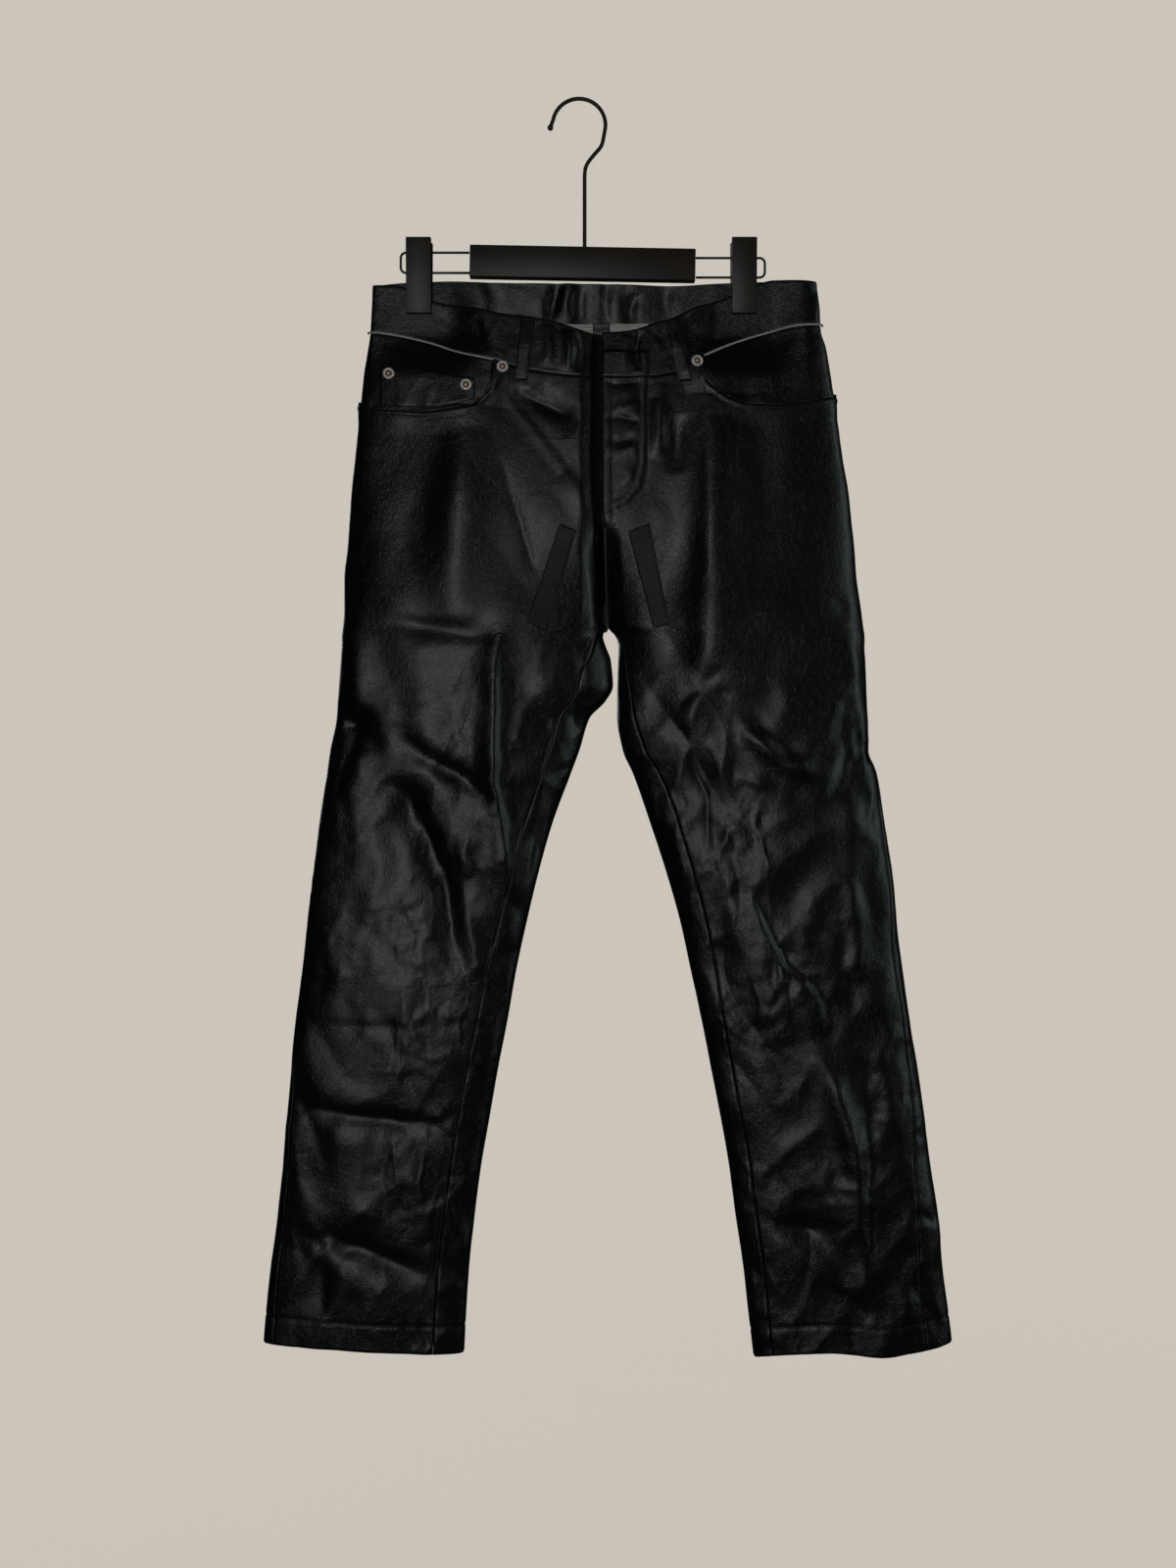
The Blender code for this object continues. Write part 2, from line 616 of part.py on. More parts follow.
def make_coin_pocket():
    x, z = four_sided(COIN_POCKET, 6, 10)
    share = np.linspace(0, 1, 6)[:, None]
    z = z[0] + (smooth(x[0], POCKET_MOUTH["left"]) + COIN_CLEAR - z[0]) * share
    laid("coin_pocket", x, z, "front", ["pocket_facing_left"], 1.0, WAXED)


def make_loop(name, face, edge, top, low):
    """A strip that bows out over the waistband, its upper end just below the band's top edge."""
    half = LOOP_WIDTH / 2
    upper = [(x, smooth(x, edge) - LOOP_DROP) for x in (top - half, top + half)]
    x, z = four_sided((*upper, (low[0] + half, low[1]), (low[0] - half, low[1])), *LOOP_SIZE)
    carriers = names_of("waistband", face, "yoke")
    bow = LAID_GAP + LOOP_BOW * np.sin(math.pi * np.linspace(0, 1, LOOP_SIZE[0]))[:, None]
    laid(name, x, z, face, carriers, LOOP_WALL, WAXED, bow)


def make_back_pocket(side):
    """A five-sided patch: its rows run from the top edge to the pointed low edge."""
    centre, top, lean = BACK_POCKETS[side]
    share = np.linspace(-1, 1, 9)
    depth = np.linspace(0, 1, 9)[:, None]
    low = POCKET_POINT_DROP + (POCKET_CORNER_DROP - POCKET_POINT_DROP) * np.abs(share)
    across = share * (POCKET_TOP_HALF + (POCKET_LOW_HALF - POCKET_TOP_HALF) * depth)
    down = low * depth
    angle = math.radians(lean)
    x = centre + across * math.cos(angle) - down * math.sin(angle)
    z = top + across * math.sin(angle) + down * math.cos(angle)
    laid(f"back_pocket_{side}", x, z, "back", [f"back_{side}"], TAB_WALL, WAXED, LAID_GAP)


def make_seam_tape():
    """The dark tape over the centre-back seam, inside."""
    left, right, low = TAPE_X - TAPE_HALF, TAPE_X + TAPE_HALF, TAPE_TOP - TAPE_LENGTH
    x, z = four_sided(((left, TAPE_TOP), (right, TAPE_TOP), (right, low), (left, low)), 7, 4)
    rest = smooth(z, column(DEPTHS, "back")) - CLOTH - LAID_GAP
    outer = np.stack([x, rest, z], -1)
    inner = np.stack([x, rest - TAPE_WALL, z], -1)
    wall("centre_back_tape", outer, inner, WAXED)


def tube(name, points, radius, finish, sides=2):
    """A round wire through points given in mm."""
    curve = bpy.data.curves.new(name, "CURVE")
    curve.dimensions = "3D"
    curve.bevel_depth = radius * MM
    curve.bevel_resolution = sides
    curve.use_fill_caps = True
    spline = curve.splines.new("POLY")
    spline.points.add(len(points) - 1)
    for point, place in zip(spline.points, points):
        point.co = (*(coordinate * MM for coordinate in place), 1)
    return add_object(name, curve, finish)


def make_piping(side):
    """A round cord in the waist seam, from the side seam to the pocket's corner."""
    start, end = PIPING_ENDS
    q = np.linspace(start, corner_share(side) - end, 20)
    z = on_edge(side, q, WAIST_SEAM[side], "front")
    points, _ = form(side, q, z, "front", PIPING_RADIUS + 2 * REST_GAP)
    tube(f"piping_{side}", points.tolist(), PIPING_RADIUS, PIPING)


def make_rivet(name, x, z):
    """A turned cap that stands on the highest cloth under it."""
    trees = surfaces(names_of("front", "pocket", "coin", "waistband_front"))
    angles = np.linspace(0, 2 * math.pi, 13)[:-1]
    ring = [(x, z)] + [(x + RIVET_RADIUS * math.cos(a), z + RIVET_RADIUS * math.sin(a)) for a in angles]
    seat = min(surface_y(trees, *place, "front") for place in ring) - REST_GAP
    mesh = bpy.data.meshes.new(name)
    profile = [(r * MM, 0, h * MM) for r, h in RIVET_PROFILE]
    mesh.from_pydata(profile, [(i, i + 1) for i in range(len(profile) - 1)], [])
    rivet = add_object(name, mesh, METAL)
    turn = rivet.modifiers.new("turn", "SCREW")
    turn.steps = turn.render_steps = 16
    turn.use_merge_vertices = True
    turn.merge_threshold = 0.00001
    rivet.rotation_euler = (math.pi / 2, 0, 0)
    rivet.location = (x * MM, seat * MM, z * MM)
    return rivet


def smooth_route(places, count):
    """Points along a smooth curve through the places, evenly spaced."""
    places = np.array(places, float)
    lengths = np.concatenate([[0], np.cumsum(np.linalg.norm(np.diff(places, axis=0), axis=1))])
    at = np.linspace(0, lengths[-1], count)
    return np.stack([smooth(at, list(zip(lengths, places[:, axis]))) for axis in range(3)], -1)


def mesh_of(curve_object):
    """The object's tube as one closed mesh in its place."""
    graph = bpy.context.evaluated_depsgraph_get()
    mesh = bpy.data.meshes.new_from_object(curve_object.evaluated_get(graph))
    shape = bmesh.new()
    shape.from_mesh(mesh)
    bmesh.ops.remove_doubles(shape, verts=shape.verts, dist=0.00001)
    shape.to_mesh(mesh)
    shape.free()
    name, finish = curve_object.name, curve_object.data.materials[0]
    bpy.data.objects.remove(curve_object)
    mesh.materials.clear()
    return add_object(name, mesh, finish)


def make_hook():
    """A round hook with a ball at its tip, its stem standing on the bar."""
    cx, cz, radius = HOOK_ARC
    arc = [(cx + radius * math.cos(math.radians(a)), cz + radius * math.sin(math.radians(a)))
           for a in np.linspace(HOOK_ARC_FROM, HOOK_ARC_TO, 13)]
    stem = (HOOK_TAIL[-1][0], bar_top(HOOK_TAIL[-1][0]) + SEAM_GAP)
    route = [(x, 0, z) for x, z in (*HOOK_TIP, *arc, *HOOK_TAIL, stem)]
    hook = mesh_of(tube("hanger_hook", smooth_route(route, 64).tolist(), HOOK_WIRE / 2, PAINTED))
    bpy.ops.mesh.primitive_uv_sphere_add(segments=16, ring_count=8, radius=HOOK_BALL * MM,
                                         location=(HOOK_TIP[0][0] * MM, 0, HOOK_TIP[0][1] * MM))
    ball = as_cutter("hook_ball")
    join = hook.modifiers.new("ball", "BOOLEAN")
    join.operation = "UNION"
    join.object = ball


def as_cutter(name):
    """Puts the active object among the helpers, out of the render."""
    helper = bpy.context.object
    helper.name = name
    for collection in list(helper.users_collection):
        collection.objects.unlink(helper)
    HELPERS.objects.link(helper)
    helper.hide_render = True
    helper.display_type = "WIRE"
    return helper


def bar_top(x):
    slope = math.tan(math.radians(BAR_TILT))
    return BAR_CENTRE[2] + BAR_SIZE[2] / 2 - (x - BAR_CENTRE[0]) * slope


def box(name, centre, size, finish):
    bpy.ops.mesh.primitive_cube_add(size=1, location=[value * MM for value in centre])
    made = bpy.context.object
    made.name = name
    made.data.transform(Matrix.Diagonal((*(value * MM for value in size), 1)))
    for collection in list(made.users_collection):
        collection.objects.unlink(made)
    PARTS.objects.link(made)
    made.data.materials.append(finish)
    return made


def make_bar():
    bar = box("hanger_bar", BAR_CENTRE, BAR_SIZE, PAINTED)
    bar.rotation_euler = (0, math.radians(BAR_TILT), 0)
    edge = bar.modifiers.new("edge", "BEVEL")
    edge.width = BAR_EDGE * MM
    edge.segments = 1


def rail_route(side):
    """Out along the upper wire, round the bend, and back along the lower one."""
    upper, lower, end = RAILS[side]
    way = -TURN[side]
    near = BAR_CENTRE[0] + way * (BAR_SIZE[0] / 2 + RAIL_GAP)
    turn = end - way * RAIL_BEND
    top = [(near, 0, upper), (turn, 0, upper)]
    angles = np.radians(np.linspace(90, 0, 5))[1:]
    bend_top = [(turn + way * RAIL_BEND * math.cos(a), 0, upper - RAIL_BEND * (1 - math.sin(a)))
                for a in angles]
    bend_low = [(x, 0, lower + upper - z) for x, _, z in reversed(bend_top)]
    return [*top, *bend_top, *bend_low, (turn, 0, lower), (near, 0, lower)]


def make_clip(side):
    """Two jaws either side of the cloth, on a core that slides along the rail's two wires."""
    x = CLIP_X[side]
    profile = ((PINCH + SEAM_GAP, CLIP_LOW), (PINCH + SEAM_GAP, JAW_STEP[1]), (JAW_HEAD, JAW_STEP[0]),
               (JAW_HEAD, CLIP_TOP), (JAW_BACK_TOP, CLIP_TOP), (JAW_BACK_LOW, CLIP_LOW))
    for face, way in (("front", -1), ("back", 1)):
        shape = bmesh.new()
        ends = []
        for offset in (-CLIP_WIDTH / 2, CLIP_WIDTH / 2):
            ends.append([shape.verts.new(((x + offset) * MM, way * y * MM, z * MM)) for y, z in profile])
        shape.faces.new(ends[0])
        shape.faces.new(ends[1])
        for i in range(len(profile)):
            j = (i + 1) % len(profile)
            shape.faces.new([ends[0][i], ends[0][j], ends[1][j], ends[1][i]])
        bmesh.ops.recalc_face_normals(shape, faces=shape.faces)
        mesh = bpy.data.meshes.new(f"clip_{side}_{face}_jaw")
        shape.to_mesh(mesh)
        shape.free()
        add_object(mesh.name, mesh, PAINTED)
    low = CORE_LOW[side]
    core = box(f"clip_{side}_core", (x, 0, (CORE_TOP + low) / 2),
               (CORE_WIDTH, 2 * (JAW_HEAD - SEAM_GAP), CORE_TOP - low), PAINTED)
    for wire, height in zip(("upper", "lower"), RAILS[side]):
        bpy.ops.mesh.primitive_cylinder_add(vertices=12, radius=(RAIL_WIRE / 2 + SEAM_GAP) * MM,
                                            depth=2 * CORE_WIDTH * MM, location=(x * MM, 0, height * MM),
                                            rotation=(0, math.pi / 2, 0))
        cutter = as_cutter(f"bore_{side}_{wire}")
        bore = core.modifiers.new(wire, "BOOLEAN")
        bore.operation = "DIFFERENCE"
        bore.object = cutter


for old in list(bpy.data.objects):
    bpy.data.objects.remove(old)
PARTS = bpy.data.collections.new("waxed_jeans_on_hanger")
HELPERS = bpy.data.collections.new("cutters")
bpy.context.scene.collection.children.link(PARTS)
bpy.context.scene.collection.children.link(HELPERS)

WAXED = material("waxed_cloth", (0.012, 0.014, 0.014), 0.38)
PIPING = material("piping", (0.42, 0.42, 0.40), 0.6)
METAL = material("rivet_metal", (0.62, 0.56, 0.50), 0.32, 1.0)
PAINTED = material("painted_hanger", (0.022, 0.019, 0.017), 0.5)

for leg_side in SIDES:
    make_front(leg_side)
    make_back(leg_side)
    make_yoke(leg_side)
    make_front_band(leg_side)
    make_facing(leg_side)
make_back_band()
make_coin_pocket()
make_seam_tape()
for leg_side in SIDES:
    make_back_pocket(leg_side)
    tab_x, tab_z = four_sided(THIGH_TABS[leg_side], 10, 4)
    laid(f"thigh_tab_{leg_side}", tab_x, tab_z, "front", [f"front_{leg_side}"], TAB_WALL, WAXED, LAID_GAP)
    make_piping(leg_side)
for loop_name, loop in LOOPS.items():
    make_loop(loop_name, *loop)
for rivet_name, (rivet_x, rivet_z) in RIVETS.items():
    make_rivet(rivet_name, rivet_x, rivet_z)
make_bar()
make_hook()
for leg_side in SIDES:
    tube(f"hanger_rail_{leg_side}", rail_route(leg_side), RAIL_WIRE / 2, PAINTED)
    make_clip(leg_side)
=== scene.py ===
"""The looks of the waxed jeans on their clip hanger: cloth shells, seams, trim, hanger, lights and camera.

Lengths are in mm until a mesh is made. Left and right are the viewer's, and the front faces -Y.
"""

import math
from collections import namedtuple
from functools import lru_cache

import bmesh
import bpy
import numpy as np
from mathutils import Matrix, Vector
from mathutils.bvhtree import BVHTree


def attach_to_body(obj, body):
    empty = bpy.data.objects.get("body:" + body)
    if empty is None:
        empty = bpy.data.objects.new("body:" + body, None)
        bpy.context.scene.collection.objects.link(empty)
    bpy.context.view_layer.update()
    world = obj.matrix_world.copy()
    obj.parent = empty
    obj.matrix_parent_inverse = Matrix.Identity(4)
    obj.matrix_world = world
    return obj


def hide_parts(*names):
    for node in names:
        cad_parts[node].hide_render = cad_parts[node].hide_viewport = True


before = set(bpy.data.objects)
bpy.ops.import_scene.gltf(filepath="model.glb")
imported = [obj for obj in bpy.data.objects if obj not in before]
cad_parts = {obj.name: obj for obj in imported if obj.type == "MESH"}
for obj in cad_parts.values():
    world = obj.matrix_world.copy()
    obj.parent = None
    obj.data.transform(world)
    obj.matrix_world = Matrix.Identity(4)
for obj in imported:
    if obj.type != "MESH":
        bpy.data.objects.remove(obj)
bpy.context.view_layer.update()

MM = 0.001

# ---------------------------------------------------------------- sizes, mm, as in the part's source

CLOTH = 1.5
HEM_WALL = 3.0
BAND = 2.4
FACING = 1.2
SEAM_GAP = 0.3
REST_GAP = 0.4
TORSO_END = -385.0
CROTCH = -494.0
HEM = -1172.0
HEM_DEPTH = 26.0
HEM_TOP = -1060.0
FLY_END = -410.0
FLY_CLOSED = -432.0
FLY_FLAT = -462.0
LAP = 14.0
LAP_RECESS = 3.4
LAP_SLOPE = 24.0
LAP_LEVEL = 2
CLIP_X = {"left": -151.0, "right": 153.5}
PINCH = 3.1
PINCH_FLAT = 24.0
PINCH_END = 64.0
PINCH_LOW = -266.0
PINCH_FULL = -218.0
GRIP_RISE = 0.6
MOUTH_LIFT = 2.2
MOUTH_EDGE = 2.0
MOUTH_FADE = 26.0
MOUTH_STITCHES = (2.6, 8.6)
MOUTH_HEM = 0.8
MOUTH_HEM_FADE = 2.2
FACING_TUCK = 14.0
FACING_GAP = 0.5
FACING_END = 0.006
CALM_RISE = (0.15, 0.7)
CALM_FLY = (14.0, 34.0)
CALM_END = (-584.0, -554.0)
FOLD_ENDS = 0.35

Outline = namedtuple("Outline", "z out inner")
Depth = namedtuple("Depth", "z front mid back power")
Seam = namedtuple("Seam", "z outseam inseam")
Fold = namedtuple("Fold", "height width path")
Crease = namedtuple("Crease", "height near far power path")


def named(kind, *rows):
    """The rows of a table, with their columns named."""
    return [kind(*row) for row in rows]


OUTLINES = {
    "left": named(
        Outline,
        (-170, -195, 20), (-200, -196, 20), (-220, -197, 20), (-256, -203, 21), (-283, -206, 21),
        (-311, -209, 21), (-339, -212, 21), (-366, -215, 21), (-394, -217, 22), (-421, -219, 23),
        (-449, -222, 24), (-477, -222, 25), (-494, -223, 25.5), (-503, -224, 21.5), (-512, -224, 24),
        (-526, -225, 29), (-550, -227, 31), (-564, -228, 24), (-580, -229, 9), (-610, -235, -0.5),
        (-633, -238, -9), (-679, -245, -26), (-725, -250, -39), (-771, -256, -50), (-817, -261, -60),
        (-863, -267, -68), (-909, -271, -77), (-955, -275, -85), (-1001, -279, -93), (-1047, -284, -99),
        (-1093, -290, -104), (-1139, -295, -107), (-1180, -298, -109),
    ),
    "right": named(
        Outline,
        (-170, 222, 20), (-200, 225, 20), (-218, 226, 20), (-234, 231, 21), (-256, 235, 21),
        (-283, 239, 21), (-311, 243, 21), (-339, 247, 21), (-366, 252, 21), (-394, 255, 22),
        (-421, 258, 23), (-449, 260, 24), (-477, 264, 25), (-494, 266, 26), (-503, 267, 33.5),
        (-512, 267, 36), (-526, 268, 35.5), (-550, 269, 35), (-576, 270, 34.5), (-610, 271, 40),
        (-633, 279, 50), (-679, 286, 66), (-725, 293, 81), (-771, 297, 94), (-817, 303, 104),
        (-863, 309, 114), (-909, 317, 123), (-955, 323, 132), (-1001, 329, 140), (-1047, 336, 146),
        (-1093, 340, 153), (-1139, 346, 158), (-1180, 351, 163),
    ),
}
DEPTHS = named(
    Depth,
    (-170, -11, 0, 9, 0.5), (-216, -15, 1, 13, 0.5), (-275, -20, 2, 22, 0.6), (-366, -25, 3, 33, 0.7),
    (-450, -28, 4, 36, 0.75), (-494, -29, 4, 36, 0.8), (-560, -29, 3, 34, 0.8), (-650, -27, 2, 29, 0.8),
    (-770, -25, 1, 26, 0.8), (-863, -24, 0, 24, 0.8), (-1000, -22, 0, 22, 0.8), (-1180, -19, 0, 20, 0.8),
)
SEAMS = {
    "left": named(
        Seam,
        (-160, 0, 1), (-494, 0, 1), (-504, 0, 0.9), (-550, 0, 0.77), (-605, 0, 0.777), (-734, 0, 0.776),
        (-800, 0, 0.765), (-881, 0.05, 0.752), (-946, 0.11, 0.748), (-1180, 0.16, 0.746),
    ),
    "right": named(
        Seam,
        (-160, 0, 1), (-494, 0, 1), (-504, 0, 0.93), (-550, 0, 0.86), (-591, 0, 0.819), (-679, 0.09, 0.775),
        (-789, 0.12, 0.777), (-902, 0.14, 0.795), (-960, 0.17, 0.795), (-1047, 0.22, 0.795),
        (-1180, 0.25, 0.803),
    ),
}
WAIST_SEAM = {
    "left": ((-198, -219), (-179, -221), (-143.5, -229), (-109, -241), (-76, -249),
             (-48, -257), (-11, -262), (18, -263.5), (36, -263.5)),
    "right": ((19, -263.5), (53, -264), (90, -259.5), (108.5, -247), (139, -232),
              (174, -220), (201, -214), (228, -212)),
}
BAND_TOP = {
    "left": ((-197, -174), (-177, -174), (-164, -176), (-149, -182), (-137, -189), (-99, -197),
             (-73, -203), (-48, -206), (-23, -211), (13, -221.5), (36, -223)),
    "right": ((18, -221.5), (44, -220), (70, -212.5), (85, -208), (99, -201), (110, -195),
              (128, -189), (138, -185), (153.5, -179), (166, -173), (182, -169.5), (224, -171)),
}
POCKET_MOUTH = {
    "left": ((-212, -282), (-188, -290), (-143.5, -293.5), (-118, -291), (-100, -287),
             (-87, -275), (-80.5, -262), (-78.5, -250)),
    "right": ((113.5, -246), (114.5, -256), (122, -268.5), (139, -280.5), (156, -286.5),
              (182, -287), (209, -283.5), (243, -276)),
}
POCKET_CORNER = {"left": -78.0, "right": 113.0}
HEM_EDGE = {
    "left": ((-300, -1164.5), (-200, -1170), (-106, -1175)),
    "right": ((162, -1179), (182, -1175), (234, -1171), (282, -1175), (352, -1164.5)),
}
BACK_BAND_TOP = ((-197, -174), (-165, -171), (-100, -169), (20, -170), (108, -172), (182, -170),
                 (224, -171))
BACK_BAND_LOW = ((-198, -219), (-120, -214), (20, -211), (140, -210), (228, -212))
YOKE_SEAM = ((-210, -256), (-90, -270), (20, -286), (130, -270), (240, -252))
FOLDS = {
    ("left", "front"): named(
        Fold,
        (5, 26, ((-107, -310), (-112, -403), (-116, -486))),
        (-3, 14, ((-66, -290), (-33, -327), (0, -370), (14, -393))),
        (4, 12, ((-73, -500), (-80, -557), (-80, -642), (-73, -672), (-67, -735))),
        (-3, 12, ((-185, -490), (-131, -500), (-82, -500))),
        (-5, 16, ((-226, -580), (-205, -592), (-188, -615))),
        (-3, 11, ((-170, -595), (-146, -615), (-110, -635), (-80, -660))),
        (-5, 16, ((-185, -639), (-161, -654), (-141, -691), (-124, -735), (-117, -801))),
        (-3, 11, ((-256, -940), (-220, -948), (-175, -954), (-139, -957))),
        (-4.5, 15, ((-242, -1059), (-207, -1073), (-142, -1099))),
    ),
    ("right", "front"): named(
        Fold,
        (5, 22, ((120, -300), (125, -400), (118, -548), (105, -595))),
        (3.5, 11, ((152, -579), (157, -595), (174, -610), (191, -623), (216, -632))),
        (-5, 14, ((250, -565), (254, -617), (238, -661))),
        (-4, 13, ((157, -748), (187, -809), (217, -835), (231, -870))),
        (4, 12, ((223, -891), (239, -930), (255, -983), (266, -1124))),
        (-4, 13, ((177, -1049), (223, -1059), (258, -1120))),
    ),
    ("left", "back"): named(
        Fold,
        (-5, 18, ((-190, -470), (-110, -500), (-20, -492))),
        (-5, 18, ((-232, -640), (-160, -668), (-80, -655))),
        (4, 14, ((-130, -690), (-140, -800), (-160, -900))),
        (-4, 16, ((-262, -960), (-200, -985), (-130, -972))),
    ),
    ("right", "back"): named(
        Fold,
        (-5, 18, ((230, -462), (150, -494), (68, -486))),
        (-5, 18, ((270, -612), (190, -650), (90, -640))),
        (4, 14, ((175, -680), (190, -790), (214, -905))),
        (-4, 16, ((318, -1010), (250, -1032), (170, -1018))),
    ),
}

SIDES = ("left", "right")
TURN = {"left": 1.0, "right": -1.0}

# ---------------------------------------------------------------- creases of the cloth

# The two stitched curves that bound the fly's facing, (x, z)
FLY_OUTER = ((62.6, -266), (62.6, -320), (62, -352), (57, -370), (44, -384), (23, -392.5))
FLY_INNER = ((55.8, -266), (55.8, -318), (55, -346), (50, -362), (39, -375), (23, -383.5))

